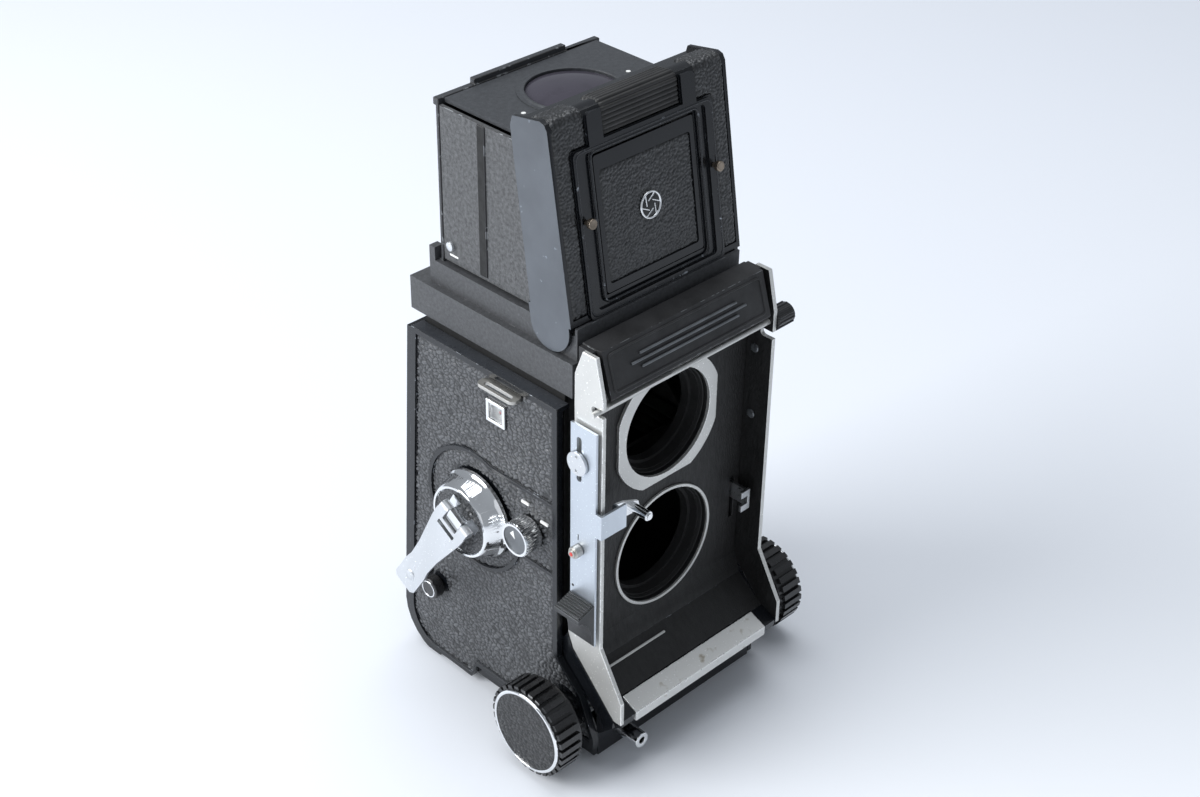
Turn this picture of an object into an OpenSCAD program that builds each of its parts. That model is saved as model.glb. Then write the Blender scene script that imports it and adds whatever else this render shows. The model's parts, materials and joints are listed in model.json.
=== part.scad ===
// Twin lens reflex camera body with its waist-level hood open and no lens board fitted.
// Origin: mouth of the tripod socket, in the middle of the flat base. +Z up, front towards -Y,
// winding crank on the -X side. Both lens axes lie in the plane x = 0.

/* [Body] */
// Half width over the two side covers
body_hw = 42.9; // [42:0.1:44]
// Half width of the light box inside the covers
box_hw = 37.4; // [37:0.1:37.6]
// Height of the top of the side covers
body_top = 138.5; // [137:0.5:140]
// Front edge of the side covers
body_front = -19.6; // [-20.5:0.1:-19]
// Thickness of a side cover
cover_t = 2.6; // [2:0.1:2.7]
// Depth of the leather recess in a side cover
leather_t = 0.8; // [0.5:0.1:1.2]

/* [Lens axes] */
// Height of the taking lens axis
taking_z = 67.8; // [66:0.1:69]
// Spacing of the two lens axes
axis_gap = 50; // [49:0.1:51]

/* [Front standard] */
// Front plane of the standard's back plate
plate_front = -26; // [-27:0.1:-25.5]
// Thickness of the back plate
plate_t = 1.8; // [1.2:0.1:2]
// Inner half width between the two cheeks
cheek_in = 38.2; // [38:0.1:38.4]
// Thickness of a cheek
cheek_t = 1.6; // [1.2:0.1:1.7]
// Top of the cheeks
cheek_top = 162; // [161:0.5:163]

/* [Focusing drive] */
// Distance of the focusing shaft in front of the tripod socket
shaft_y = -23.5; // [-24:0.1:-23]
// Height of the focusing shaft
shaft_z = 19.6; // [19:0.1:20]
// Radius of the circle through the pinion pins
pinion_r = 6; // [6:1:6]
// Radius of the ribbed focusing knobs
knob_r = 17; // [16:0.5:17.5]

/* [Crank] */
// Position of the crank axis behind the tripod socket
crank_y = 19; // [18:0.5:20]
// Height of the crank axis
crank_z = 79; // [78:0.5:80]
// Length of the folding crank arm
arm_len = 41; // [38:0.5:42]

/* [Hood] */
// Half width of the folding side walls of the hood
hood_hw = 34.8; // [34:0.1:35]
// Rear face of the hood
hood_rear = 43; // [42:0.5:44]
// Height of the hood's top rim
hood_top = 219.8; // [218:0.1:221]
// Lean of the hood's front cover, in degrees
cover_lean = 9.43; // [8:0.01:11]

/* [Hidden] */
$fn = 64;

eps = 0.05;
viewing_z = taking_z + axis_gap;
cover_in = body_hw - cover_t;
leather_x = body_hw - leather_t;
// Rounded lower back corner of the body, seen from the side
heel_y = 42.8;
heel_z = 18;
heel_r = 13;
door_t = 3.2;
back_top_y = 50;
door_top = 137.5;

// Light box
box_front = -17.5;
box_floor = 31;
box_roof = 142;
box_rear = 48.6;
box_wall = 1.6;
chamber_hw = 33.8;
chamber_front = 25;
chamber_floor = 8;
gate_y = 46;
gate_half = 28;
film_gap_z = 33;
gate_top = 97;
cavity_hw = box_hw - box_wall;

// Mirror
mirror_y = 17;
mirror_len = 64;
mirror_hw = 31;
mirror_t = 2;

// Tripod socket and base
base_hw = 38.2;
base_front = -35;
base_back = 38;
base_t = 8;
tripod_r = 3.175;
bush_r = 9;

// Focusing drive
rack_in = 34.6;
rack_out = 37.6;
rack_end = 35.4;
pin_r = 0.5;
slot_pitch = PI;
shaft_r = 3;
running_fit = 0.06;
knob_in = 50;
// Strap lug: middle, underside height, length, reach from the leather's seat and thickness
lug_y = 4.8;
lug_z = 134.2;
lug_length = 17.4;
lug_out = 5.2;
lug_t = 1.2;
knob_out = 61;
// Collar between each knob and its side cover
collar_in = 45;
collar_r = 8;

// Front standard openings and the lens retainer
taking_r = 21.6;
viewing_r = 19.5;
retainer_y = -34.4;
retainer_z = 143.2;
strip_x0 = -37.6;
strip_x1 = -9.6;
lever_out = 7.2;
lever_pitch = 0.98;

// Finder base tiers
tier_low = 142.3;
tier_mid = 154.5;
tier_top = 163;
tier_hw = 39.1;
tier_hw_top = 36.5;

// Hood
wall_t = 1.4;
wall_front = -4.5;
wall_rear = 41.2;
hinge_z_right = 164.6;
hinge_z_left = 167.2;
lens_r = 15.5;
cover_hw = 38;
cover_y = -20.7;
cover_z = 165.9;
cover_len = 65.5;
win_lo = 5.6;
win_hi = 50.4;
flap_hw = 21.5;
flap_top = 50;

// Crank: unit vector of the arm in the side plane, and where its hinge sits
arm_dy = 0.51;
arm_dz = -0.86;
arm_back = 5;
arm_tilt = 8;
arm_angle = atan2(arm_dz, arm_dy);
hub_face = 51.3;
arm_x = 54.6;

// Winding gears, module 1 mm
gear_m = 1;
crank_teeth = 46;
spool_teeth = 24;
spool_y = 38.5;
spool_z = 108.06;
mesh_angle = atan2(spool_z - crank_z, spool_y - crank_y);

// Extrudes a (y, z) outline along +X from x0 to x1
module along_x(x0, x1) {
    translate([x0, 0, 0]) rotate([90, 0, 90]) linear_extrude(x1 - x0) children();
}
// Extrudes an (x, z) outline along Y, from y0 back to y1
module along_y(y0, y1) {
    translate([0, y1, 0]) rotate([90, 0, 0]) linear_extrude(y1 - y0) children();
}
// Cylinder along X from x0 to x1 about (y, z)
module rod_x(x0, x1, y, z, r) {
    translate([x0, y, z]) rotate([0, 90, 0]) cylinder(h = x1 - x0, r = r);
}
// Cylinder along Y from y0 to y1 about (x, z)
module rod_y(y0, y1, x, z, r) {
    translate([x, y1, z]) rotate([90, 0, 0]) cylinder(h = y1 - y0, r = r);
}
module box(x0, x1, y0, y1, z0, z1) {
    translate([x0, y0, z0]) cube([x1 - x0, y1 - y0, z1 - z0]);
}
module both_sides() {
    children();
    mirror([1, 0, 0]) children();
}
// Rounded rectangle centred on (cx, cz)
module rounded(w, h, r, cx = 0, cz = 0) {
    translate([cx, cz]) union() {
        square([w - 2 * r, h], center = true);
        square([w, h - 2 * r], center = true);
        for (sx = [-1, 1], sz = [-1, 1])
            translate([sx * (w / 2 - r), sz * (h / 2 - r)]) circle(r);
    }
}

// Side outline of the body, as (y, z) points, drawn in by m all round
function side_points(m, nose = true) = concat(
    [[back_top_y - m, body_top - m], [body_front + m, body_top - m],
     [body_front + m, 38.5 + 0.3 * m], [-30.5 + m, 28.5 + 0.3 * m], [-37.3 + m, 13 + 0.3 * m],
     [-37.3 + m, 9 + m], [22, 9 + m], [25, 2.4 + m]],
    [for (a = [-75 : 15 : 0]) [heel_y + (heel_r + 2.6 - m) * cos(a), heel_z + (heel_r + 2.6 - m) * sin(a)]]);

// ---------------------------------------------------------------- body
module light_box() {
    color("#1c1d1f") difference() {
        union() {
            box(-box_hw, box_hw, box_front, box_rear, box_floor, box_roof);
            box(-chamber_hw, chamber_hw, chamber_front, box_rear, chamber_floor, box_floor + 1);
        }
        // taking chamber, spool chambers and mirror chamber in one cavity
        box(-box_hw + box_wall, box_hw - box_wall, box_front - 1, box_rear + 1,
            box_floor + box_wall, box_roof - box_wall);
        box(-chamber_hw + box_wall, chamber_hw - box_wall, chamber_front + box_wall, box_rear + 1,
            chamber_floor + box_wall, box_floor + box_wall + 1);
        // light shaft up to the focusing screen
        box(-33, 33, -12, 46, box_roof - 3, box_roof + 1);
        rod_x(-box_hw - 1, -box_hw + 3, crank_y, crank_z, 3.4);
        rod_x(-box_hw - 1, -box_hw + 3, spool_y, spool_z, 3.4);
        rod_x(box_hw - 3, box_hw + 1, spool_y, spool_z, 2.7);
        rod_x(-chamber_hw - 1, -chamber_hw + 3, 42, 24, 2.7);
        rod_x(chamber_hw - 3, chamber_hw + 1, 42, 24, 2.7);
    }
}

module film_gate() {
    color("#27282a") difference() {
        union() {
            box(-cavity_hw, cavity_hw, gate_y - 1.4, gate_y, film_gap_z, gate_top);
            both_sides() box(29.5, 31.5, gate_y, gate_y + 1, film_gap_z, gate_top);
        }
        box(-gate_half, gate_half, gate_y - 2, gate_y + 2, taking_z - gate_half, taking_z + gate_half);
    }
}

module mirror_slab(hw, len, lift, t) {
    translate([0, mirror_y, viewing_z]) rotate([45, 0, 0])
        translate([-hw, -len / 2, -lift - t]) cube([2 * hw, len, t]);
}
module mirror_carrier() {
    color("#2e2f31") union() {
        mirror_slab(cavity_hw, mirror_len, mirror_t, 1.5);
        both_sides() translate([0, mirror_y, viewing_z]) rotate([45, 0, 0])
            translate([mirror_hw + 0.1, -mirror_len / 2, -mirror_t]) cube([1.2, mirror_len, 3]);
    }
}
module reflex_mirror() {
    color("#aab4ba") mirror_slab(mirror_hw, mirror_len - 2, 0, mirror_t);
}

module base_plate() {
    color("#202124") difference() {
        box(-base_hw, base_hw, base_front, base_back, 0, base_t);
        rotate_extrude() square([bush_r, 2 * base_t + 2]);
        rod_y(base_front - 1, base_front + 3.2, -28, 9.5, 1.75);
        // chamfers along the front and side lower edges
        both_sides() translate([base_hw, 0, 0]) rotate([0, 45, 0]) cube([3, 200, 3], center = true);
        translate([0, base_front, 0]) rotate([45, 0, 0]) cube([200, 3, 3], center = true);
    }
}

module tripod_bush() {
    color("#8d9094") difference() {
        cylinder(h = base_t, r = bush_r);
        translate([0, 0, -1]) cylinder(h = base_t + 2, r = tripod_r);
    }
}

// Bracket that carries the focusing shaft, in the front of the base
module focusing_bed() {
    color("#1d1e20") difference() {
        union() {
            both_sides() along_x(38.5, cover_in - 0.05) polygon([
                [base_front, 3], [base_back - 4, 3], [base_back - 4, 22], [-8, 24.5],
                [shaft_y - 6, 24.5], [base_front, 14]]);
            both_sides() along_x(30, 33) polygon([
                [shaft_y - 7, base_t], [shaft_y + 9, base_t], [shaft_y + 5, 24], [shaft_y - 5, 24]]);
            box(-38.5, 38.5, base_front, base_front + 3, base_t, 13.5);
        }
        rod_x(-60, 60, shaft_y, shaft_z, shaft_r + running_fit);
        rod_y(base_front - 1, base_front + 4, -28, 9.5, 1.8);
    }
}

module cable_socket() {
    color("#c9ccd0") difference() {
        union() {
            rod_y(-46, base_front, -28, 9.5, 2.9);
            rod_y(base_front, base_front + 3.2, -28, 9.5, 1.75);
        }
        rod_y(-47, -38, -28, 9.5, 1.25);
    }
}

// Side cover with a sunk leather field; hand = -1 for the crank side
module side_cover(hand) {
    s = hand;
    difference() {
        union() {
            scale_x(s) along_x(cover_in, body_hw) polygon(side_points(0));
            // shelf that closes the top against the light box
            scale_x(s) box(box_hw + 0.1, cover_in + 1, body_front, back_top_y, body_top - 1.6, body_top);
        }
        scale_x(s) along_x(leather_x, body_hw + 1) difference() {
            polygon(side_points(2.2));
            if (s < 0) keyhole(23.4);
        }
        scale_x(s) rod_x(cover_in - 1, body_hw + 1, shaft_y, shaft_z, 4);
        if (s < 0) {
            scale_x(s) rod_x(cover_in - 1, body_hw + 1, crank_y, crank_z, 3.4);
            scale_x(s) rod_x(cover_in - 1, body_hw + 1, -7, 85, 2.4);
            scale_x(s) rod_x(cover_in - 1, body_hw + 1, 42, 35, 2.4);
            scale_x(s) box(cover_in - 1, body_hw + 1, 4.6, 13.7, 118.9, 127.5);
            scale_x(s) along_x(leather_x, body_hw + 1) keyhole(22);
        } else {
            rod_x(cover_in - 1, body_hw + 1, spool_y, spool_z, 2.4);
            rod_x(cover_in - 1, body_hw + 1, 42, 24, 2.4);
        }
    }
}
module scale_x(s) {
    if (s < 0) mirror([1, 0, 0]) children();
    else children();
}
// Round field about the crank that opens towards the front edge
module keyhole(r) {
    circle_at(crank_y + 2, crank_z, r);
    grow = r - 22;
    translate([body_front + 2.2 - grow, 73 - grow]) square([crank_y - body_front, 26.5 + 2 * grow]);
}
module circle_at(y, z, r) {
    translate([y, z]) circle(r);
}
module side_cover_right() {
    color("#1a1b1e") side_cover(-1);
}
module side_cover_left() {
    color("#1a1b1e") side_cover(1);
}

// Leather on both covers, cut round the fittings
module side_leathers() {
    color("#333437") {
        mirror([1, 0, 0]) difference() {
            along_x(leather_x, body_hw - 0.1) union() {
                difference() {
                    polygon(side_points(2.4));
                    keyhole(23.6);
                }
                intersection() {
                    polygon(side_points(2.4));
                    keyhole(21.8);
                }
            }
            rod_x(leather_x - 1, body_hw + 1, crank_y, crank_z, 16.6);
            rod_x(leather_x - 1, body_hw + 1, -7, 85, 4);
            rod_x(leather_x - 1, body_hw + 1, 42, 35, 5);
            shared_leather_cuts();
            box(leather_x - 1, body_hw + 1, 4, 14.3, 118.3, 128.1);
        }
        difference() {
            along_x(leather_x, body_hw - 0.1) polygon(side_points(2.4));
            shared_leather_cuts();
            rod_x(leather_x - 1, body_hw + 1, spool_y, spool_z, 8);
            rod_x(leather_x - 1, body_hw + 1, 42, 24, 8);
            box(leather_x - 1, body_hw + 1, 3, 23, 60, 84);
        }
    }
}
module shared_leather_cuts() {
    rod_x(leather_x - 1, body_hw + 1, shaft_y, shaft_z, 8);
    box(leather_x - 1, body_hw + 1, lug_y - 8.2, lug_y + 8.2, lug_z - 1.8, 140);
}

// Strap lug on each side: a level loop with a long slot, on a strip let into the leather
module strap_lugs() {
    color("#b9bbbe") both_sides() difference() {
        union() {
            translate([leather_x + lug_out / 2, lug_y, lug_z]) linear_extrude(lug_t) rotate(90)
                rounded(lug_length, lug_out, 2.2);
            box(leather_x, leather_x + 0.7, lug_y - 7.6, lug_y + 7.6, lug_z - 1.2, lug_z + lug_t);
        }
        translate([leather_x + 3.1, lug_y, lug_z - 3]) linear_extrude(8) rotate(90) rounded(12.6, 1.7, 0.8);
    }
}

module counter_frame() {
    color("#c4c6c8") mirror([1, 0, 0]) along_x(cover_in + 0.1, body_hw + 0.15) difference() {
        translate([4.7, 119]) square([8.9, 8.4]);
        translate([6, 120.2]) square([6.3, 6]);
    }
}
module counter_glass() {
    color("#d9dde0") box(-body_hw + 0.2, -body_hw + 1, 6.05, 12.25, 120.25, 126.15);
}
module counter_dial() {
    color("#ececea") {
        rod_x(-40.1, -39.2, 9.2, 112, 12.5);
        rod_x(-39.3, -box_hw - 0.1, 9.2, 112, 1.4);
    }
}

module accessory_shoe() {
    color("#b4b6b9") difference() {
        box(leather_x, leather_x + 4.4, 4, 22, 61, 83);
        box(leather_x + 1.2, leather_x + 3.4, 4 + 1.4, 22 - 1.4, 62, 84);
        box(leather_x + 3, leather_x + 5, 7, 19, 62, 84);
    }
}

module finder_base() {
    color("#2b2c2f") difference() {
        union() {
            box(-tier_hw, tier_hw, -22.6, 54, tier_low, tier_mid);
            box(-tier_hw_top, tier_hw_top, -22, 46.7, tier_mid - 1, tier_top);
            both_sides() box(33, tier_hw_top, 44, 46.7, tier_top - 1, 167.7);
            box(-tier_hw_top, tier_hw_top, -22, -20.9, tier_top - 1, 165.6);
            // sill under the left folding wall, which folds above the right one
            box(hood_hw - wall_t, hood_hw, wall_front, 41.3, tier_top - 1, hinge_z_left - 0.9);
            // rim under the hood's rear wall
            box(-34.9, 34.9, 41.6, 44, tier_top - 1, tier_top + 0.4);
        }
        box(-30, 30, -11, 40.6, tier_low - 1, tier_top + 1);
        box(-32, 32, -13, 41.3, tier_top - 8, tier_top - 4.9);
    }
}
module focusing_screen() {
    color("#e8ecee") box(-31.8, 31.8, -12.8, 41.1, tier_top - 7.8, tier_top - 5.2);
}

// ---------------------------------------------------------------- hood
module hood_rear_wall() {
    color("#242528") union() {
        box(-hood_hw, hood_hw, 41.6, hood_rear, tier_top + 0.4, hood_top);
        box(-hood_hw, hood_hw, hood_rear - eps, hood_rear + 1.2, hood_top - 2.6, hood_top);
        box(-19.6, 19.6, hood_rear - 1.2, hood_rear + 1.2, hood_top - 1, hood_top + 1.9);
    }
}
module leaned() {
    translate([0, cover_y, cover_z]) rotate([-cover_lean, 0, 0]) children();
}
// (x, s) outline cut through the leaning cover from its outer face inwards
module leaned_y(y0, y1) {
    leaned() along_y(y0, y1) children();
}
module hood_cover() {
    color("#17181b") difference() {
        union() {
            // shell: front, side skirts with round lower ends, top return
            leaned() along_x(-cover_hw, cover_hw) polygon([
                [0, 0], [17.5, 0], [16, cover_len - 3], [14.5, cover_len],
                [2.6, cover_len], [0.8, cover_len - 0.9], [0, cover_len - 2.8]]);
            both_sides() leaned() along_x(cover_hw - 1.5, cover_hw) union() {
                translate([9.6, -1]) circle(8.6);
                translate([1, -1]) square([17.2, 6]);
            }
            both_sides() box(33.3, 37, -9, -4.6, hood_top - 1.5, hood_top + 1);
            // raised frame about the window and the grip
            leaned_y(-0.9, 0.5) difference() {
                union() {
                    rounded(60, 54, 2, 0, 26.6);
                    rounded(46, 14, 2, 0, 57);
                }
                rounded(53, 50, 1.5, 0, 27);
                translate([-17, 54.6]) square([34, 20]);
            }
        }
        // hollow inside
        difference() {
            leaned() along_x(-cover_hw + 1.4, cover_hw - 1.4) polygon([
                [2.4, -1], [19, -1], [19, cover_len - 2], [3.4, cover_len - 2], [2.4, cover_len - 3.5]]);
            both_sides() box(33.3, 37, -11, -4.6, hood_top - 1.5, hood_top + 1);
        }
        leaned() along_x(-cover_hw + 1.4, cover_hw - 1.4) translate([5, cover_len - 1.9]) square([14, 4]);
        // bearings for the magnifier plate's hinge rod
        rod_x(-35.4, 35.4, -7, hood_top - 0.7, 0.76);
        // window for the sports finder and its recess
        leaned_y(-2, 4) translate([-flap_hw - 0.3, win_lo - 0.3]) square([2 * flap_hw + 0.6, win_hi - win_lo + 0.6]);
        // sunk fields for the leather strips and the grip
        leaned_y(-0.1, 0.7) both_sides_2d() strip_outline(0);
        leaned_y(-0.95, 1) translate([-16.8, 54.8]) square([33.6, 8.4]);
    }
}
module both_sides_2d() {
    children();
    mirror([1, 0]) children();
}
// Leather strip beside the frame, grown by g
module strip_outline(g) {
    polygon([[30.2 - g, 2 - g], [36.6 + g, 2 - g], [36.6 + g, cover_len - 4 + g],
             [23.4 - g, cover_len - 4 + g], [23.4 - g, 53.9 - g], [30.2 - g, 53.9 - g]]);
}
module cover_leather() {
    color("#303134") leaned_y(-0.1, 0.65) both_sides_2d() strip_outline(-0.15);
}
module ribbed_grip() {
    color("#232427") leaned() union() {
        along_x(-16.6, 16.6) union() {
            polygon([[-0.3, 55], [1, 55], [1, 63], [-0.3, 63]]);
            for (k = [0 : 6]) translate([-0.7, 55.2 + 1.1 * k]) square([0.6, 0.6]);
        }
    }
}
module finder_pins() {
    color("#8c7a55") both_sides() leaned() {
        rod_y(-3.8, -0.9, 27.9, 31.5, 0.9);
        rod_y(-4.4, -2.6, 27.9, 31.5, 1.7);
    }
}
// Folding side wall, hinged along its bottom edge
module hood_wall(hand, hinge_z) {
    scale_x(hand) union() {
        box(hood_hw - wall_t, hood_hw, wall_front, wall_rear, hinge_z, hood_top - 1.8);
        // pressed stiffening rib
        along_y_box(hinge_z);
        rod_y(wall_front, wall_rear, hood_hw - wall_t / 2, hinge_z, wall_t / 2);
    }
}
module along_y_box(hinge_z) {
    box(hood_hw - eps, hood_hw + 0.5, 20.2, 23.6, hinge_z + 1, hood_top - 2.2);
}
module hood_wall_right() {
    color("#37383b") hood_wall(-1, hinge_z_right);
}
module hood_wall_left() {
    color("#37383b") hood_wall(1, hinge_z_left);
}
module magnifier_plate() {
    color("#2c2d30") difference() {
        union() {
            box(-32.6, 32.6, -7, 41, hood_top - 1.4, hood_top);
            rod_x(-35, 35, -7, hood_top - 0.7, 0.7);
            translate([0, 17.5, hood_top - 1.4]) cylinder(h = 1.8, r = lens_r + 2.6);
        }
        translate([0, 17.5, hood_top - 3]) cylinder(h = 6, r = lens_r + 0.05);
    }
}
// Plano-convex magnifier, kept between two spherical faces
module magnifier_lens() {
    ball_r = 42;
    color("#8d8a94") intersection() {
        translate([0, 17.5, hood_top - 1.3]) cylinder(h = 6, r = lens_r);
        translate([0, 17.5, hood_top + 1.6 - ball_r]) sphere(ball_r, $fn = 128);
    }
}
module finder_flap() {
    color("#1b1c1f") leaned() difference() {
        union() {
            along_y(0, 2) rounded(2 * flap_hw, flap_top - win_lo, 1, 0, (flap_top + win_lo) / 2);
            rod_x(-flap_hw, flap_hw, 1, flap_top - 1, 1);
        }
        along_y(-1, 0.6) rounded(39.4, 36.8, 1, 0, 26.6);
    }
}
module flap_leather() {
    color("#303134") leaned_y(0, 0.6) rounded(39.2, 36.6, 1, 0, 26.6);
}

// ---------------------------------------------------------------- winding
// Straight-flanked spur gear with wide running backlash; tooth 0 points along angle a0
module gear(teeth, y, z, x0, x1, a0) {
    r = gear_m * teeth / 2;
    along_x(x0, x1) translate([y, z]) union() {
        circle(r - 1.1);
        for (k = [0 : teeth - 1]) rotate(a0 + k * 360 / teeth)
            polygon([[r - 1.6, -0.75], [r + 0.8, -0.3], [r + 0.8, 0.3], [r - 1.6, 0.75]]);
    }
}
module crank_hub() {
    color("#d6d8da") difference() {
        translate([-body_hw - 0.35, crank_y, crank_z]) rotate([0, -90, 0]) rotate_extrude()
            polygon([[0, 0], [16.2, 0], [16.2, 1.2], [15.2, 2.4], [13.4, 7.6], [13, 8.05], [12.2, 8.05],
                     [12.2, 7.3], [0, 7.3]]);
        translate([-arm_x, crank_y - arm_back * arm_dy, crank_z - arm_back * arm_dz])
            rotate([arm_angle, 0, 0]) box(0, 5, -2.6, 2.6, -7.4, 7.4);
    }
    color("#d6d8da") rod_x(-body_hw - 0.4, -box_hw + 1, crank_y, crank_z, 3.3);
    // hinge block for the arm, let into the face
    color("#8f9296") translate([-arm_x, crank_y - arm_back * arm_dy, crank_z - arm_back * arm_dz])
        rotate([arm_angle, 0, 0]) {
            difference() {
                box(-1.2, 5, -2.5, 2.5, -3.2, 3.2);
                translate([0, 0, -5]) cylinder(h = 10, r = 1.06);
            }
            box(3.4, 5, -2.5, 2.5, -7.3, 7.3);
        }
}
module crank_gear() {
    color("#b08d3f") difference() {
        gear(crank_teeth, crank_y, crank_z, -39, -37.8, mesh_angle);
        rod_x(-41, -36, crank_y, crank_z, 3.3);
    }
}
// Places children in the arm's frame: +Y along the arm, -X away from the body
module arm_frame() {
    translate([-arm_x, crank_y - arm_back * arm_dy, crank_z - arm_back * arm_dz])
        rotate([arm_angle, 0, 0]) rotate([0, 0, arm_tilt]) children();
}
module crank_arm() {
    color("#cfd2d5") arm_frame() difference() {
        union() {
            translate([-1.9, 0, 0]) rotate([0, 90, 0]) linear_extrude(1.2) polygon([
                [-7.5, 1.5], [7.5, 1.5], [7.2, 6], [5, 20], [4.6, 27], [5.2, 31], [5.2, arm_len - 1.5],
                [3.8, arm_len], [-3.8, arm_len], [-5.2, arm_len - 1.5], [-5.2, 31], [-4.6, 27],
                [-5, 20], [-7.2, 6]]);
            for (s = [-1, 1]) translate([0, 0, s * 5.4 - 1.9]) {
                cylinder(h = 3.8, r = 1.9);
                translate([-1.9, 0, 0]) cube([1.6, 3, 3.8]);
            }
            translate([0, 0, -6]) cylinder(h = 12, r = 1);
        }
        // clear of the hinge block, and the finger slot beyond it
        translate([-3, 1.2, -3.5]) cube([4, 2, 7]);
        translate([-3, 4.6, -4.2]) cube([4, 1.6, 8.4]);
    }
}
module crank_grip() {
    color("#1d1e20") arm_frame() translate([-0.7, arm_len - 6, 0]) rotate([0, 90, 0]) union() {
        cylinder(h = 7, r = 3.6);
        translate([0, 0, 7 - eps]) cylinder(h = 0.6, r = 3.1);
    }
}
module take_up_spool() {
    color("#3a3b3d") {
        rod_x(-32, 32, spool_y, spool_z, 4.2);
        both_sides() rod_x(31, 32.2, spool_y, spool_z, 11.8);
        rod_x(-39.05, -31, spool_y, spool_z, 3.3);
    }
}
module spool_gear() {
    color("#b08d3f") difference() {
        gear(spool_teeth, spool_y, spool_z, -39, -37.8, mesh_angle + 180 + 180 / spool_teeth);
        rod_x(-41, -36, spool_y, spool_z, 3.3);
    }
}
module multi_knob() {
    color("#c9cbce") union() {
        difference() {
            rod_x(-50, -body_hw - 0.3, -7, 85, 5.9);
            rod_x(-51, -49.5, -7, 85, 5.1);
        }
        for (a = [0 : 12 : 348])
            rod_x(-49.4, -body_hw - 0.9, -7 + 5.9 * cos(a), 85 + 5.9 * sin(a), 0.3);
        rod_x(-body_hw - 0.4, -cover_in + 1, -7, 85, 2.34);
    }
}
module pull_knob(hand, y, z, r, head, inner) {
    scale_x(hand) union() {
        rod_x(body_hw + 0.25, body_hw + head, y, z, r);
        rod_x(inner, body_hw + 0.3, y, z, 2.3);
    }
}
module pull_knob_right() {
    color("#2a2b2d") pull_knob(-1, 42, 35, 4.3, 4.2, 38);
}
module pull_knob_lower() {
    color("#2a2b2d") pull_knob(1, 42, 24, 7, 7.5, 34.2);
}
module pull_knob_upper() {
    color("#2a2b2d") pull_knob(1, spool_y, spool_z, 7, 7.5, 33);
}

// ---------------------------------------------------------------- back door
// Door skin between two side outlines, following the round heel
module door_profile(a, b) {
    polygon(concat(
        [[back_top_y + b, door_top], [back_top_y + a, door_top]],
        [for (t = [0 : -15 : -90]) [heel_y + (heel_r + 2.6 + a) * cos(t), heel_z + (heel_r + 2.6 + a) * sin(t)]],
        [for (t = [-90 : 15 : 0]) [heel_y + (heel_r + 2.6 + b) * cos(t), heel_z + (heel_r + 2.6 + b) * sin(t)]]));
}
module back_door() {
    color("#1a1b1e") difference() {
        union() {
            along_x(-42.4, 42.4) door_profile(0.35, 2.7);
            along_x(-31.5, 31.5) door_profile(-0.9, 0.5);
            box(-20, 20, 39.2, 43, 1.4, 6.2);
            rod_x(-20, 20, 40.6, 3.2, 1.8);
            // latch bar on the top edge
            box(-9, 9, back_top_y + 2, back_top_y + 4.6, 131, door_top - 0.1);
        }
        rod_x(-45, 45, 40.6, 3.2, 1.06);
        box(-45, 45, 38.8, 60, -3, 1.05);
    }
}
// Outer face of the door above its heel, out by b
function door_face(z, b) = back_top_y + b
    + (heel_y + heel_r + 2.6 - back_top_y) * (door_top - z) / (door_top - heel_z);
module door_leather() {
    color("#333437") along_x(-39.5, 39.5) polygon([
        [door_face(129, 2.7), 129], [door_face(129, 3.2), 129],
        [door_face(22, 3.2), 22], [door_face(22, 2.7), 22]]);
}
module pressure_plate() {
    color("#15161a") {
        box(-30.5, 30.5, gate_y + 2.2, gate_y + 3.4, 38, 97);
        // spring posts between the plate and the door
        for (x = [-20, 20]) {
            rod_y(gate_y + 3.3, 52.4, x, 90, 2);
            rod_y(gate_y + 3.3, 55.5, x, 45, 2);
        }
    }
}
module door_hinge_pin() {
    color("#a9abae") rod_x(-33, 33, 40.6, 3.2, 1);
    color("#a9abae") both_sides() box(20.6, 24, base_back, 41.8, 2, 4.6);
}

// ---------------------------------------------------------------- front standard
module standard_plate() {
    color("#232427") difference() {
        box(-cheek_in, cheek_in, plate_front, plate_front + plate_t, 30, 151);
        rod_y(plate_front - 1, plate_front + 3, 0, taking_z, taking_r);
        rod_y(plate_front - 1, plate_front + 3, 0, viewing_z, viewing_r);
        // slot for the stem of the cocking fork
        box(33.9, 35.7, plate_front - 1, plate_front + 3, 61.5, 78.5);
    }
}
module cheek(hand, notch_z) {
    scale_x(hand) difference() {
        along_x(cheek_in, cheek_in + cheek_t) polygon([
            [-24.2, 153], [-27.6, cheek_top], [-33.4, cheek_top], [-36.7, 148], [-36.7, 51],
            [-47, 33], [-47.1, 24], [-43.6, 24], [-24, 44], [-21.6, 50], [-24.2, 66]]);
        box(cheek_in - 1, cheek_in + 3, -38, -33, notch_z - 1.4, notch_z + 1.4);
        rod_x(cheek_in - 1, cheek_in + 3, -33, notch_z, 1.4);
        rod_x(cheek_in - 1, cheek_in + 3, retainer_y, retainer_z, 1.05);
    }
}
module cheek_right() {
    color("#dcdddd") cheek(-1, retainer_z);
}
module cheek_left() {
    color("#dcdddd") cheek(1, 138.6);
}
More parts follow.
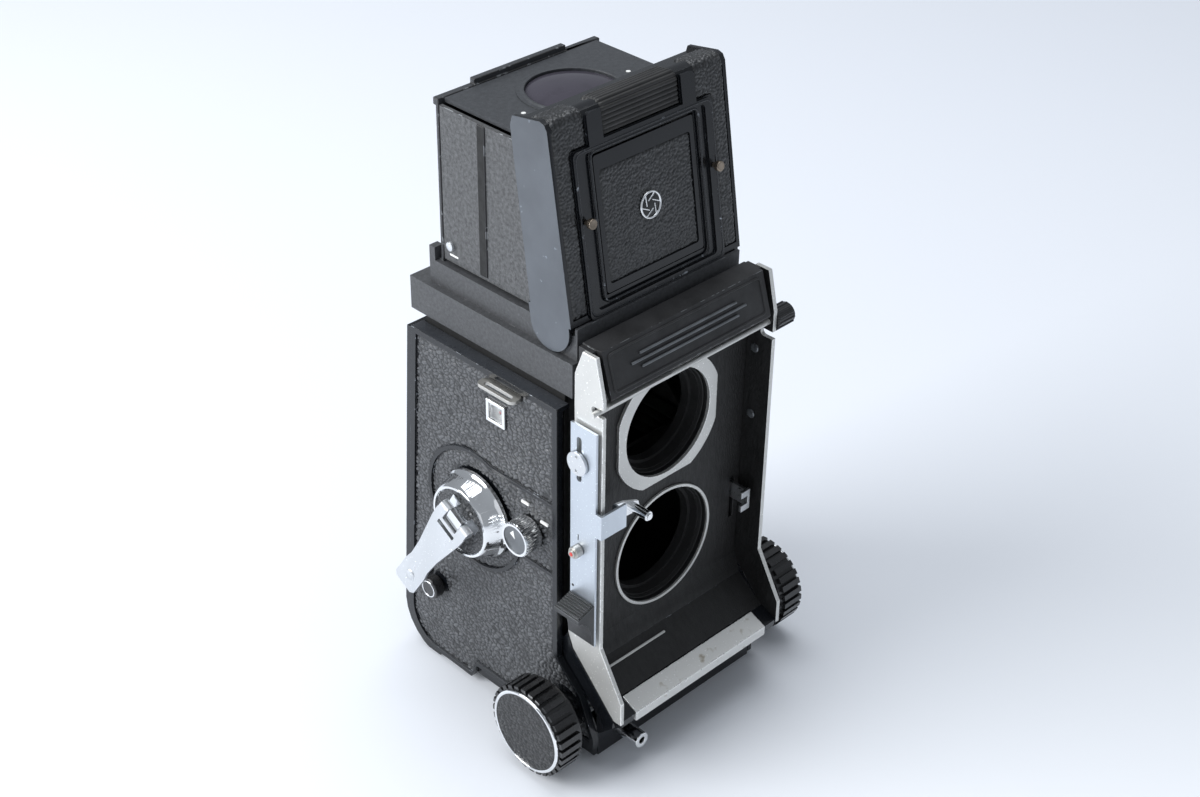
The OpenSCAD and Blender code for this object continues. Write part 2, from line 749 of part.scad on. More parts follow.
// Lower casting: sloping inner floor between the cheeks, two side webs and the racks
module standard_base() {
    color("#1e1f21") {
        difference() {
            union() {
                along_x(-cheek_in, cheek_in) polygon([
                    [plate_front, 45], [-29, 37], [-40.2, 28.2], [-47, 25.4], [-46, 21.6], [-40, 17],
                    [-36.4, 17], [-33, 26.6], [plate_front, 26.6]]);
                both_sides() along_x(cheek_in - 0.4, cheek_in + 1.9) polygon([
                    [-24.4, 43.4], [-43.8, 23.9], [-43.4, 20.6], [-37, 14.4], [-36, 15], [-36, 22.2],
                    [-30, 28], [-13, 31.2], [-11.5, 37.4], [-21, 48], [-21.6, 49.4]]);
                both_sides() along_x(rack_in, rack_out) difference() {
                    polygon([[plate_front - 0.1, 25.3], [rack_end, 25.3], [rack_end, 28.6], [plate_front - 0.1, 28.6]]);
                    for (k = [0 : 18]) translate([shaft_y + k * slot_pitch - 0.82, 25]) square([1.64, 1.65]);
                }
            }
            // seat for the bar, and room for the back plate
            along_x(-32.6, 32.6) polygon([[-48, 26.6], [-46, 21.6], [-39.9, 21.6], [-39.9, 29], [-48, 29]]);
            box(-cheek_in, cheek_in, plate_front, plate_front + plate_t, 30, 60);
        }
    }
}
module lower_bar() {
    color("#c6c7c5") along_x(-32.4, 32.4) polygon([
        [-47.2, 25.6], [-40.2, 28.4], [-40.1, 21.8], [-47.2, 21.8]]);
}
module viewing_ring() {
    color("#d5d5d1") difference() {
        along_y(plate_front - 1.3, plate_front) intersection() {
            translate([0, viewing_z]) circle(24.4);
            translate([-22.9, viewing_z - 21.6]) square([45.8, 50]);
        }
        rod_y(plate_front - 3, plate_front + 1, 0, viewing_z, viewing_r);
    }
}
module taking_ring() {
    color("#d5d5d1") difference() {
        rod_y(plate_front - 0.9, plate_front, 0, taking_z, taking_r + 1.1);
        rod_y(plate_front - 2, plate_front + 1, 0, taking_z, taking_r);
    }
}
module nameplate() {
    color("#2a2a2c") difference() {
        union() {
            along_x(-36.4, 36.4) polygon([
                [-24.2, 162.3], [-32.3, 162.4], [-36.9, 147.4], [-36.6, 146.6], [-35.8, 146.6],
                [-33.2, 151], [-24.2, 151]]);
            along_x(-cheek_in, cheek_in) polygon([[-24.4, 161.9], [-30, 161.9], [-30, 151], [-24.4, 151]]);
        }
        // sunk name field
        translate([0, -34.5, 154.8]) rotate([-17, 0, 0]) box(-33.6, 33.6, -2.4, -0.2, -5.6, 5.6);
    }
}
// Slide plate with its slot, tab, inner arm and post
module release_plate() {
    x0 = -cheek_in - cheek_t - 1.0;
    color("#c9d0d6") difference() {
        union() {
            along_x(x0 - 0.9, x0) polygon([
                [-24.6, 136.4], [-35.9, 136.4], [-35.9, 52.6], [-24.6, 63]]);
            box(x0 - 0.9, x0, -38.6, -35.8, 97.6, 106.6);
            box(x0 - 0.9, -30.5, -38.6, -37.7, 97.6, 106.6);
            box(-31.4, -30.5, -37.8, -33.2, 97.6, 104);
            along_y(-34, -33.1) polygon([[-31.4, 97.6], [-31.4, 104], [-27, 103.2], [-20.4, 100.4],
                [-19.8, 98], [-20.6, 96.6], [-27, 97]]);
            rod_y(-40.6, -33.1, -22.4, 98.6, 1.7);
            rod_y(-41.2, -40.6, -22.4, 98.6, 1.15);
        }
        along_x(x0 - 2, x0 + 1) rounded(2.2, 16.6, 1.05, -28.4, 123.8);
        rod_x(x0 - 2, x0 + 1, -28.8, 89, 1.5);
    }
}
// Thumb piece: its ribbed top slopes outwards over a hollow underside
module release_lever() {
    x0 = -cheek_in - cheek_t - 1.9;
    color("#232427") union() {
        along_y(-35.9, -24.6) polygon(concat(
            [[x0, 53], [x0, 69.8], [x0 - lever_out, 67.3]],
            [for (t = [0 : 15 : 90]) [x0 - lever_out + (lever_out - 0.8) * sin(t), 65.8 - 12 * (1 - cos(t))]]));
        for (k = [0 : 6]) along_y(-35.5, -25) translate([x0 - 0.6 - k * lever_pitch, 69.7 - k * lever_pitch / 3])
            rotate(109) square([1.2, 0.45], center = true);
    }
}
// Two-hole screw on which the slide plate runs
module guide_screw() {
    color("#d6d7d4") difference() {
        union() {
            rod_x(-cheek_in - cheek_t - 2.2, -cheek_in - cheek_t, -28.4, 122.7, 1);
            rod_x(-cheek_in - cheek_t - 3.2, -cheek_in - cheek_t - 2.1, -28.4, 122.7, 4.2);
        }
        for (s = [-1, 1]) rod_x(-50, -cheek_in - cheek_t - 2.6, -28.4, 122.7 + 2.6 * s, 0.5);
    }
}
module lock_stud() {
    color("#bfb9a8") {
        rod_x(-45.4, -cheek_in - cheek_t - 1, -28.8, 89, 1.4);
        rod_x(-44.6, -cheek_in - cheek_t - 2.1, -28.8, 89, 2.1);
    }
}
// Sprung fork that cocks the shutter, on a stem through the back plate
module cocking_fork() {
    color("#9fa3a6") union() {
        box(34.2, 35.4, -33, plate_front + plate_t + 1, 70, 76.5);
        box(31, 35.4, -33.9, -32.7, 69, 71.6);
        box(31, 35.4, -33.9, -32.7, 74.6, 77.2);
        box(34.2, 35.4, -33.9, -32.7, 69, 77.2);
    }
}
// Bail that drops in front of the lens board, with its ribbed knob
module lens_retainer() {
    color("#cfd1cf") {
        rod_x(-42.2, 47, retainer_y, retainer_z, 0.97);
        box(strip_x0, strip_x1, retainer_y - 2.7, retainer_y + 0.4, retainer_z + 1.5, retainer_z + 2.3);
        for (x = [strip_x0, strip_x1 - 2.4])
            box(x, x + 2.4, retainer_y - 0.5, retainer_y + 0.4, retainer_z, retainer_z + 2.3);
    }
    color("#232427") {
        rod_x(cheek_in + cheek_t + 0.3, 47.6, retainer_y, retainer_z, 3.6);
        for (a = [0 : 30 : 330])
            rod_x(cheek_in + cheek_t + 0.3, 47.2, retainer_y + 3.6 * cos(a), retainer_z + 3.6 * sin(a), 0.4);
    }
}

// ---------------------------------------------------------------- focusing
module focus_shaft() {
    color("#a7a9ab") {
        rod_x(-knob_in - 1, knob_in + 1, shaft_y, shaft_z, shaft_r);
        both_sides() {
            rod_x(rack_in - 0.2, rack_out + 0.2, shaft_y, shaft_z, pinion_r - pin_r + 0.06);
            for (k = [0 : 11])
                rod_x(rack_in - 0.2, rack_out + 0.2, shaft_y + pinion_r * sin(30 * k),
                      shaft_z + pinion_r * cos(30 * k), pin_r);
        }
    }
}
module focus_knobs() {
    color("#232427") both_sides() difference() {
        union() {
            rod_x(knob_in, knob_out - 0.6, shaft_y, shaft_z, knob_r - 1.3);
            rod_x(collar_in, knob_in + 0.2, shaft_y, shaft_z, collar_r);
            rod_x(knob_out - 0.7, knob_out, shaft_y, shaft_z, knob_r - 1.8);
            for (k = [0 : 29]) translate([0, shaft_y, shaft_z]) rotate([12 * k, 0, 0])
                box(knob_in + 1.4, knob_out - 0.6, knob_r - 2, knob_r, -1.05, 1.05);
        }
        rod_x(body_hw, knob_in + 1.1, shaft_y, shaft_z, shaft_r);
    }
}

// Folded bellows, as one plain sleeve about both light paths
module bellows() {
    color("#1b1b1d") difference() {
        union() {
            box(-33, 33, plate_front + plate_t, -6, 36, 139.5);
            box(-cavity_hw, cavity_hw, -7.5, -6, box_floor + box_wall, box_roof - box_wall);
        }
        box(-29.5, 29.5, plate_front, -5, 40, 89);
        box(-29.5, 29.5, plate_front, -5, 92, 137);
    }
}

light_box();
film_gate();
mirror_carrier();
reflex_mirror();
base_plate();
tripod_bush();
focusing_bed();
cable_socket();
side_cover_right();
side_cover_left();
side_leathers();
strap_lugs();
counter_frame();
counter_glass();
counter_dial();
accessory_shoe();
finder_base();
focusing_screen();
hood_rear_wall();
hood_cover();
cover_leather();
ribbed_grip();
finder_pins();
hood_wall_right();
hood_wall_left();
magnifier_plate();
magnifier_lens();
finder_flap();
flap_leather();
crank_hub();
crank_gear();
crank_arm();
crank_grip();
take_up_spool();
spool_gear();
multi_knob();
pull_knob_right();
pull_knob_lower();
pull_knob_upper();
back_door();
door_leather();
pressure_plate();
door_hinge_pin();
standard_plate();
cheek_right();
cheek_left();
standard_base();
lower_bar();
viewing_ring();
taking_ring();
nameplate();
guide_screw();
release_plate();
release_lever();
lock_stud();
cocking_fork();
lens_retainer();
focus_shaft();
focus_knobs();
bellows();
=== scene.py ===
"""Looks of a twin lens reflex camera body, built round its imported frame."""
import json
import math

import bmesh
import bpy
import numpy as np
from bpy.props import FloatProperty, FloatVectorProperty, IntProperty, PointerProperty
from mathutils import Matrix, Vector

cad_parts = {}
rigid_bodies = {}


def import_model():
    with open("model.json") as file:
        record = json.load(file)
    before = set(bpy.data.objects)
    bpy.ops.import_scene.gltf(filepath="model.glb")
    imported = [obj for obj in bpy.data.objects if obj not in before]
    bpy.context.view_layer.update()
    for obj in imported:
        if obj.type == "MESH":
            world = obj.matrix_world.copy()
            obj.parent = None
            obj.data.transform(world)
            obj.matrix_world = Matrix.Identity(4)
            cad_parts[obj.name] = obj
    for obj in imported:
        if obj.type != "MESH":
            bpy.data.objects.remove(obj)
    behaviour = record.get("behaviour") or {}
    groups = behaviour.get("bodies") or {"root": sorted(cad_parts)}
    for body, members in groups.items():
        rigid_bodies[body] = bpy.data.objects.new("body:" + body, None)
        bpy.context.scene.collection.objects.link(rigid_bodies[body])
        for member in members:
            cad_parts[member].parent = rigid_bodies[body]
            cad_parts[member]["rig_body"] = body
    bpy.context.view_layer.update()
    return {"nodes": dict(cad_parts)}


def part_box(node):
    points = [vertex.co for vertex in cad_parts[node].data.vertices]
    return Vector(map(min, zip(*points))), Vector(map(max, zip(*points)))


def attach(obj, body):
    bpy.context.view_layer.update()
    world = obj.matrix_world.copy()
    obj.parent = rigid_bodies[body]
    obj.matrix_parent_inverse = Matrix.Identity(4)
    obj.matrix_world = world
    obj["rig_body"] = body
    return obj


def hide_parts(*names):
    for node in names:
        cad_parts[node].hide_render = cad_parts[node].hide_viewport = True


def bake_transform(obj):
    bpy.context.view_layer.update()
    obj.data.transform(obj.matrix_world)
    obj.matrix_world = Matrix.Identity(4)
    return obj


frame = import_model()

bl_info = {
    "name": "Twin lens reflex camera looks",
    "version": (1, 0, 0),
    "blender": (4, 5, 0),
    "location": "View3D > Sidebar > Reflex camera",
    "description": "Leather, enamel, bellows, controls and stage for a twin lens reflex camera",
    "category": "Object",
}

MM = 0.001
LEFT = np.array([1.0, 0.0, 0.0])
BACK = np.array([0.0, 1.0, 0.0])
UP = np.array([0.0, 0.0, 1.0])


# ---------------------------------------------------------------- settings
class TLR_Finishes(bpy.types.PropertyGroup):
    """Colours and grain of the finishes"""

    leather: FloatVectorProperty(
        name="Leather", description="Colour of the leather's raised grain", subtype="COLOR",
        default=(0.070, 0.073, 0.078), min=0, max=1)
    enamel: FloatVectorProperty(
        name="Enamel", description="Colour of the gloss black enamel", subtype="COLOR",
        default=(0.006, 0.007, 0.009), min=0, max=1)
    skirt: FloatVectorProperty(
        name="Skirt paint", description="Colour of the finder cover's flat side skirts", subtype="COLOR",
        default=(0.085, 0.096, 0.112), min=0, max=1)
    silver: FloatVectorProperty(
        name="Satin silver", description="Colour of the satin plated standard", subtype="COLOR",
        default=(0.64, 0.64, 0.62), min=0, max=1)
    grain_size: FloatProperty(
        name="Grain size", description="Distance between the leather's pebbles", unit="LENGTH",
        default=1.7 * MM, min=0.5 * MM, max=4 * MM)
    grain_height: FloatProperty(
        name="Grain height", description="Height of a pebble above its creases", unit="LENGTH",
        default=0.62 * MM, min=0, max=0.9 * MM)
    grain_step: FloatProperty(
        name="Grain step", description="Distance between mesh points across the leather", unit="LENGTH",
        default=0.33 * MM, min=0.25 * MM, max=1 * MM)


class TLR_Shapes(bpy.types.PropertyGroup):
    """Sizes of the pieces that Blender adds to the frame"""

    pleats: IntProperty(
        name="Pleats", description="Number of folds in the bellows", default=4, min=2, max=12)
    pleat_depth: FloatProperty(
        name="Pleat depth", description="Depth of a bellows fold", unit="LENGTH",
        default=3.2 * MM, min=0.5 * MM, max=6 * MM)
    grip_ribs: IntProperty(
        name="Grip ribs", description="Number of ribs on the finder cover's grip", default=12, min=3, max=30)
    dial_marks: IntProperty(
        name="Dial marks", description="Number of strokes round the frame counter", default=8, min=4, max=60)
    bead: FloatProperty(
        name="Bead", description="Width of the raised beads about the finder window", unit="LENGTH",
        default=0.9 * MM, min=0.3 * MM, max=2 * MM)


class TLR_Stage(bpy.types.PropertyGroup):
    """Camera, light and floor"""

    azimuth: FloatProperty(
        name="Azimuth", description="Camera direction about the vertical", subtype="ANGLE",
        default=math.radians(-44.97))
    elevation: FloatProperty(
        name="Elevation", description="Camera height above the horizon", subtype="ANGLE",
        default=math.radians(33.25))
    roll: FloatProperty(
        name="Roll", description="Turn of the camera about its own line of sight", subtype="ANGLE",
        default=math.radians(0.75))
    place: FloatVectorProperty(
        name="Camera place", description="Where the camera stands", subtype="TRANSLATION", unit="LENGTH",
        default=(-0.39171, -0.38760, 0.47537))
    lens: FloatProperty(
        name="Lens", description="Focal length on a 36 mm wide sensor, in millimetres", default=59.27, min=10)
    key_power: FloatProperty(
        name="Key light", description="Power of the large light behind on the left", unit="POWER",
        default=23.0, min=0)
    fill_power: FloatProperty(
        name="Fill light", description="Power of the overhead light", unit="POWER", default=11.0, min=0)
    sky: FloatProperty(
        name="Room light", description="Strength of the light from all round", default=0.36, min=0)


# ---------------------------------------------------------------- finishes
# Set before every finish's name, because the frame has plain materials with some of the same names
LOOK = "look_"


class Finish:
    """A material being wired on Object coordinates; each method adds a node and gives its output"""

    def __init__(self, name, **sockets):
        self.material = bpy.data.materials.new(LOOK + name)
        self.material.use_nodes = True
        self.tree = self.material.node_tree
        self.shader = next(n for n in self.tree.nodes if n.type == "BSDF_PRINCIPLED")
        self.coords = self.node("ShaderNodeTexCoord").outputs["Object"]
        self.set(**sockets)

    def node(self, kind, **settings):
        made = self.tree.nodes.new(kind)
        for key, value in settings.items():
            setattr(made, key, value)
        return made

    def join(self, value, socket):
        """Wires an output into a socket, or sets the socket to a plain value"""
        if isinstance(value, bpy.types.NodeSocket):
            self.tree.links.new(value, socket)
        else:
            socket.default_value = (*value, 1.0) if isinstance(value, tuple) and len(value) == 3 else value

    def set(self, **sockets):
        for name, value in sockets.items():
            self.join(value, self.shader.inputs[name.replace("_", " ")])

    def stretched(self, stretch):
        mapping = self.node("ShaderNodeMapping")
        mapping.inputs["Scale"].default_value = stretch
        self.join(self.coords, mapping.inputs["Vector"])
        return mapping.outputs["Vector"]

    def noise(self, size, detail=3.0, stretch=(1, 1, 1), distortion=0.0):
        """Noise whose blobs are size millimetres across"""
        noise = self.node("ShaderNodeTexNoise")
        self.join(self.stretched(stretch), noise.inputs["Vector"])
        noise.inputs["Scale"].default_value = 0.7 / (size * MM)
        noise.inputs["Detail"].default_value = detail
        noise.inputs["Distortion"].default_value = distortion
        return noise.outputs["Fac"]

    def cells(self, size, feature="F1", stretch=(1, 1, 1)):
        """Voronoi cells size millimetres across"""
        cells = self.node("ShaderNodeTexVoronoi", feature=feature)
        self.join(self.stretched(stretch), cells.inputs["Vector"])
        cells.inputs["Scale"].default_value = 1 / (size * MM)
        return cells.outputs["Distance"]

    def attribute(self, name):
        return self.node("ShaderNodeAttribute", attribute_name=name).outputs["Fac"]

    def range(self, value, low, high, to_low=0.0, to_high=1.0):
        made = self.node("ShaderNodeMapRange")
        for socket, number in zip(made.inputs[1:5], (low, high, to_low, to_high)):
            socket.default_value = number
        self.join(value, made.inputs["Value"])
        return made.outputs["Result"]

    def mix(self, share, first, second):
        made = self.node("ShaderNodeMix", data_type="RGBA")
        self.join(share, made.inputs["Factor"])
        self.join(first, made.inputs["A"])
        self.join(second, made.inputs["B"])
        return next(o for o in made.outputs if o.type == "RGBA")

    def bump(self, *layers):
        """Layers of (height output, depth in millimetres), the broadest first"""
        normal = None
        for height, depth in layers:
            made = self.node("ShaderNodeBump")
            made.inputs["Distance"].default_value = depth * MM
            self.join(height, made.inputs["Height"])
            if normal is not None:
                self.join(normal, made.inputs["Normal"])
            normal = made.outputs["Normal"]
        self.join(normal, self.shader.inputs["Normal"])


def scaled(colour, factor):
    return tuple(min(1.0, c * factor) for c in colour)


def coating(name, colour, rough, patch=9.0, contrast=0.35, grain=0.3, depth=0.02, stretch=(1, 1, 1),
            **sockets):
    """A finish whose colour and gloss drift over patches, with a fine grain and stray specks"""
    made = Finish(name, **sockets)
    patches = made.noise(patch, 4, stretch)
    specks = made.range(made.noise(0.55, 2), 0.66, 0.72)
    drift = made.mix(made.range(patches, 0.3, 0.7), scaled(colour, 1 - contrast),
                     scaled(colour, 1 + contrast))
    made.set(Base_Color=made.mix(specks, drift, scaled(colour, 1.5)))
    made.set(Roughness=made.range(made.noise(patch / 3, 5, stretch), 0.3, 0.7, rough[0], rough[1]))
    made.bump((made.noise(grain, 3, stretch), depth))
    return made


def leather(name, colour):
    """Pebbled leather: the piece's relief attribute paints shade, darkening the creases and the sunken border
    almost to black so that the tops stand lighter; pores and hair wrinkles cover them
    """
    made = Finish(name, Specular_IOR_Level=0.7, Sheen_Weight=0.05, Sheen_Roughness=0.4)
    relief = made.attribute("relief")
    dust = made.range(made.noise(7, 4), 0.35, 0.75)
    top = made.mix(dust, colour, scaled(colour, 1.5))
    # Painted shade: the colour falls to a twentieth of the leather's in the creases and near the border,
    # following the relief attribute
    made.set(Base_Color=made.mix(made.range(relief, 0.12, 0.62), scaled(colour, 0.05), top))
    made.set(Roughness=made.range(made.noise(1.1, 4), 0.3, 0.7, 0.26, 0.40))
    made.bump((made.noise(0.45, 4, distortion=1.0), 0.05), (made.cells(0.16), 0.012))
    return made


def worn_and_highlit(name, paint, bare, rough, wear):
    """Paint along an edge, lightened all along as a painted edge highlight, and worn through to the lighter
    metal where two noises agree
    """
    made = Finish(name, Specular_IOR_Level=0.5)
    rub = made.range(made.noise(2.4, 6, distortion=0.6), 0.74 - wear, 0.80 - wear)
    # Painted highlight: the unworn edge paint is 1.6 times lighter than the flat paint; the bare metal spots
    # are wear
    made.set(Base_Color=made.mix(rub, scaled(paint, 1.6), bare))
    made.set(Metallic=made.range(rub, 0, 1, 0, 0.75))
    made.set(Roughness=made.range(made.noise(1.2, 4), 0.3, 0.7, rough[0], rough[1]))
    made.bump((made.noise(0.25, 2), 0.01))
    return made


def scratched(name, colour, rough, depth=0.01, coat=0.0):
    """Flat paint with hair scratches that run two ways, and small chips"""
    made = Finish(name, Coat_Weight=coat, Coat_Roughness=0.12)
    lines = made.range(made.noise(0.25, 2, (1, 14, 1.4)), 0.70, 0.74)
    chips = made.range(made.noise(1.6, 6), 0.70, 0.73)
    cloud = made.mix(made.range(made.noise(16, 4), 0.3, 0.7), scaled(colour, 0.8), scaled(colour, 1.2))
    made.set(Base_Color=made.mix(lines, made.mix(chips, cloud, scaled(colour, 2.2)), scaled(colour, 1.7)))
    made.set(Roughness=made.range(made.noise(5, 5), 0.3, 0.7, rough[0], rough[1]))
    made.bump((made.noise(0.5, 3), depth))
    return made


def stained(name, colour):
    """Satin aluminium with brown stains and pits"""
    made = coating(name, colour, (0.32, 0.48), patch=14, contrast=0.06, grain=0.12, depth=0.008,
                   stretch=(0.2, 1, 1),
                   Metallic=0.25)
    stain = made.range(made.noise(3.2, 8), 0.60, 0.72)
    base = made.shader.inputs["Base Color"].links[0].from_socket
    made.set(Base_Color=made.mix(stain, base, (0.42, 0.38, 0.31)))
    return made


def clear(name, tint, rough, transmission, ior=1.52):
    """Glass or ground screen with a faint film of dust; coated glass reflects less, as a lower index"""
    made = Finish(name, IOR=ior, Transmission_Weight=transmission)
    made.set(Base_Color=made.mix(made.range(made.noise(5, 6), 0.55, 0.8), tint, scaled(tint, 0.8)))
    made.set(Roughness=made.range(made.noise(3, 5), 0.4, 0.8, rough, rough + 0.06))
    return made


def make_finishes(looks):
    """Every finish of the camera, kept in Blender by its name"""
    silver, enamel = tuple(looks.silver), tuple(looks.enamel)
    black = (0.014, 0.014, 0.015)
    leather("leather", tuple(looks.leather))
    # Painted shade: the leather of the hood's front and of the focusing knobs is the side leather darkened to
    # a half and to about a third
    leather("shaded_hood_leather", scaled(looks.leather, 0.5))
    leather("shaded_knob_leather", scaled(looks.leather, 0.32))
    # Edge finishes for the bevels: partly wear, partly a painted highlight that lightens every edge
    worn_and_highlit("enamel_edge", enamel, (0.30, 0.32, 0.35), (0.16, 0.32), 0.12)
    worn_and_highlit("casting_edge", black, (0.22, 0.23, 0.24), (0.3, 0.5), 0.17)
    worn_and_highlit("skirt_edge", tuple(looks.skirt), (0.55, 0.58, 0.62), (0.25, 0.4), 0.20)
    worn_and_highlit("silver_edge", (0.5, 0.5, 0.49), (0.9, 0.9, 0.88), (0.2, 0.35), 0.3)
    scratched("enamel", enamel, (0.16, 0.28), 0.006)
    scratched("skirt_paint", tuple(looks.skirt), (0.34, 0.48))
    coating("casting", (0.062, 0.064, 0.068), (0.42, 0.58), 0.8, 0.22, 0.3, 0.06)
    coating("sand_paint", (0.080, 0.082, 0.085), (0.44, 0.6), 0.9, 0.45, 0.42, 0.2)
    coating("hood_black", (0.042, 0.045, 0.050), (0.38, 0.52), 1.0, 0.2, 0.2, 0.015)
    # Painted reflection: the black enamel made bluish grey for the side covers' upward faces, standing in for
    # the light from above that they reflect
    coating("shelf_painted_reflection", (0.045, 0.049, 0.056), (0.2, 0.34), 9, 0.15, 0.3, 0.008)
    coating("lever_plastic", (0.030, 0.031, 0.033), (0.3, 0.42), 4, 0.2, 0.2, 0.008)
    coating("wrinkle_leather", (0.008, 0.008, 0.008), (0.42, 0.62), 5, 0.4, 0.5, 0.2, (2.2, 1, 0.45))
    coating("knob_plastic", (0.011, 0.011, 0.012), (0.20, 0.36), 8, 0.3, 0.3, 0.008, Coat_Weight=0.3)
    coating("rubber", (0.020, 0.020, 0.021), (0.46, 0.62), 7, 0.35, 0.3, 0.03)
    coating("rib_rubber", (0.024, 0.0235, 0.023), (0.34, 0.5), 6, 0.4, 0.25, 0.015)
    coating("satin_silver", silver, (0.30, 0.42), 11, 0.05, 0.14, 0.008, Metallic=0.5)
    coating("slide_steel", (0.60, 0.65, 0.71), (0.27, 0.42), 9, 0.07, 0.12, 0.008, (1, 1, 0.08),
            Metallic=0.85)
    coating("chrome", (0.86, 0.87, 0.88), (0.05, 0.16), 6, 0.06, 0.3, 0.002, Metallic=1.0)
    coating("arm_satin", (0.66, 0.68, 0.70), (0.26, 0.38), 8, 0.05, 0.12, 0.006, (1, 1, 0.15), Metallic=0.9)
    coating("steel", (0.42, 0.43, 0.44), (0.24, 0.42), 5, 0.15, 0.25, 0.01, Metallic=0.95)
    coating("grey_metal", (0.17, 0.18, 0.19), (0.28, 0.45), 5, 0.2, 0.2, 0.01, Metallic=0.7)
    coating("brass", (0.60, 0.46, 0.24), (0.22, 0.4), 4, 0.2, 0.2, 0.01, Metallic=1.0)
    coating("nickel", (0.50, 0.49, 0.46), (0.3, 0.46), 5, 0.15, 0.2, 0.01, Metallic=0.9)
    coating("old_brass", (0.24, 0.20, 0.16), (0.22, 0.4), 2.5, 0.45, 0.3, 0.02, Metallic=0.9)
    coating("mirror_face", (0.92, 0.93, 0.94), (0.0, 0.03), 20, 0.01, 3, 0.0005, Metallic=1.0)
    coating("flat_black", (0.006, 0.006, 0.006), (0.55, 0.75), 7, 0.3, 0.4, 0.03)
    coating("pressure_enamel", (0.012, 0.012, 0.013), (0.3, 0.42), 9, 0.3, 0.2, 0.01)
    coating("bellows_cloth", (0.016, 0.016, 0.017), (0.55, 0.72), 4, 0.35, 0.35, 0.06, (1, 2, 1))
    coating("white_paint", (0.86, 0.86, 0.84), (0.35, 0.5), 3, 0.05, 0.2, 0.01)
    coating("red_paint", (0.62, 0.05, 0.04), (0.3, 0.45), 2, 0.15, 0.2, 0.01)
    coating("dial_white", (0.80, 0.79, 0.75), (0.4, 0.55), 5, 0.06, 0.3, 0.01)
    stained("bar_aluminium", (0.74, 0.74, 0.72))
    clear("lens_glass", (0.085, 0.078, 0.10), 0.03, 0.35, ior=1.3)
    clear("window_glass", (0.95, 0.96, 0.97), 0.02, 0.95)
    clear("screen_glass", (0.75, 0.79, 0.78), 0.35, 0.35)


# ---------------------------------------------------------------- shapes
def unit(vector):
    vector = np.asarray(vector, float)
    return vector / np.linalg.norm(vector)


def span(node):
    """Lowest and highest corner of a frame node, in millimetres"""
    low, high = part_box(node)
    return np.array(low) / MM, np.array(high) / MM


def grid_faces(rows, columns, close_rows=False, close_columns=False):
    """Quads that join each point of a grid to its neighbours; a closed way joins the last line to the
    first"""
    i, j = np.meshgrid(np.arange(rows - (not close_rows)), np.arange(columns - (not close_columns)),
                       indexing="ij")
    i, j = i.ravel(), j.ravel()
    down, right = (i + 1) % rows, (j + 1) % columns
    return np.stack([i * columns + j, down * columns + j, down * columns + right, i * columns + right], -1)


def joined(shapes):
    """Several (points, faces) shapes as one"""
    starts = np.cumsum([0] + [len(points) for points, _ in shapes])
    faces = [[index + start for index in face] for (_, fs), start in zip(shapes, starts) for face in fs]
    return np.concatenate([points for points, _ in shapes]), faces


def piece(name, shape, finish, body, slot, solid=True, **attributes):
    """Puts a shape, in millimetres, into a mesh that rides on a body; a solid one has doubles merged, faces
    outwards"""
    points, faces = shape
    mesh = bpy.data.meshes.new(name)
    mesh.from_pydata((np.asarray(points) * MM).tolist(), [],
                     faces if isinstance(faces, list) else faces.tolist())
    for key, values in attributes.items():
        mesh.attributes.new(key, "FLOAT", "POINT").data.foreach_set("value", np.asarray(values, np.float32))
    if solid:
        work = bmesh.new()
        work.from_mesh(mesh)
        bmesh.ops.remove_doubles(work, verts=work.verts, dist=1e-6)
        bmesh.ops.recalc_face_normals(work, faces=work.faces)
        work.to_mesh(mesh)
        work.free()
    mesh.polygons.foreach_set("use_smooth", np.ones(len(mesh.polygons), bool))
    mesh.materials.append(bpy.data.materials[LOOK + finish])
    made = bpy.data.objects.new(name, mesh)
    bpy.context.scene.collection.objects.link(made)
    if solid:
        mesh.set_sharp_from_angle(angle=math.radians(40))
    if body:
        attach(made, body)
    return made


def turned(profile, centre, axis, steps=72):
    """A profile of (along, radius) pairs carried round an axis: centre + along * axis + radius * (cos,
    sin)"""
    axis = unit(axis)
    side = unit(np.cross(axis, (0.31, 0.52, 0.8)))
    turn = np.linspace(0, 2 * math.pi, steps, endpoint=False)[:, None]
    ring = np.cos(turn) * side + np.sin(turn) * np.cross(axis, side)
    profile = np.asarray(profile, float)
    points = np.asarray(centre, float) + profile[:, None, :1] * axis + profile[:, None, 1:] * ring[None]
    return points.reshape(-1, 3), grid_faces(len(profile), steps, close_columns=True).tolist()


def filleted(corners, radius, steps=4, closed=True):
    """An outline with each corner replaced by a curve that bends from one side to the next: (1-t)^2 a +
    2t(1-t) p + t^2 b"""
    corners = np.asarray(corners, float)
    before, after = np.roll(corners, 1, 0) - corners, np.roll(corners, -1, 0) - corners
    lengths = [np.linalg.norm(v, axis=1, keepdims=True) for v in (before, after)]
    a, b = (corners + v / n * np.minimum(radius, n * 0.48) for v, n in zip((before, after), lengths))
    t = np.linspace(0, 1, steps + 1)[None, :, None]
    curve = (1 - t) ** 2 * a[:, None] + 2 * t * (1 - t) * corners[:, None] + t ** 2 * b[:, None]
    if not closed:
        curve[0], curve[-1] = corners[0], corners[-1]
    return curve.reshape(-1, corners.shape[1])


def rectangle(width, height, radius=0.5, centre=(0, 0)):
    """Outline of a rectangle with round corners"""
    x, y = width / 2, height / 2
    return filleted([(-x, -y), (x, -y), (x, y), (-x, y)], radius) + np.asarray(centre, float)


def circle(radius, steps=48, centre=(0, 0)):
    turn = np.linspace(0, 2 * math.pi, steps, endpoint=False)
    return np.stack([np.cos(turn), np.sin(turn)], -1) * radius + np.asarray(centre, float)


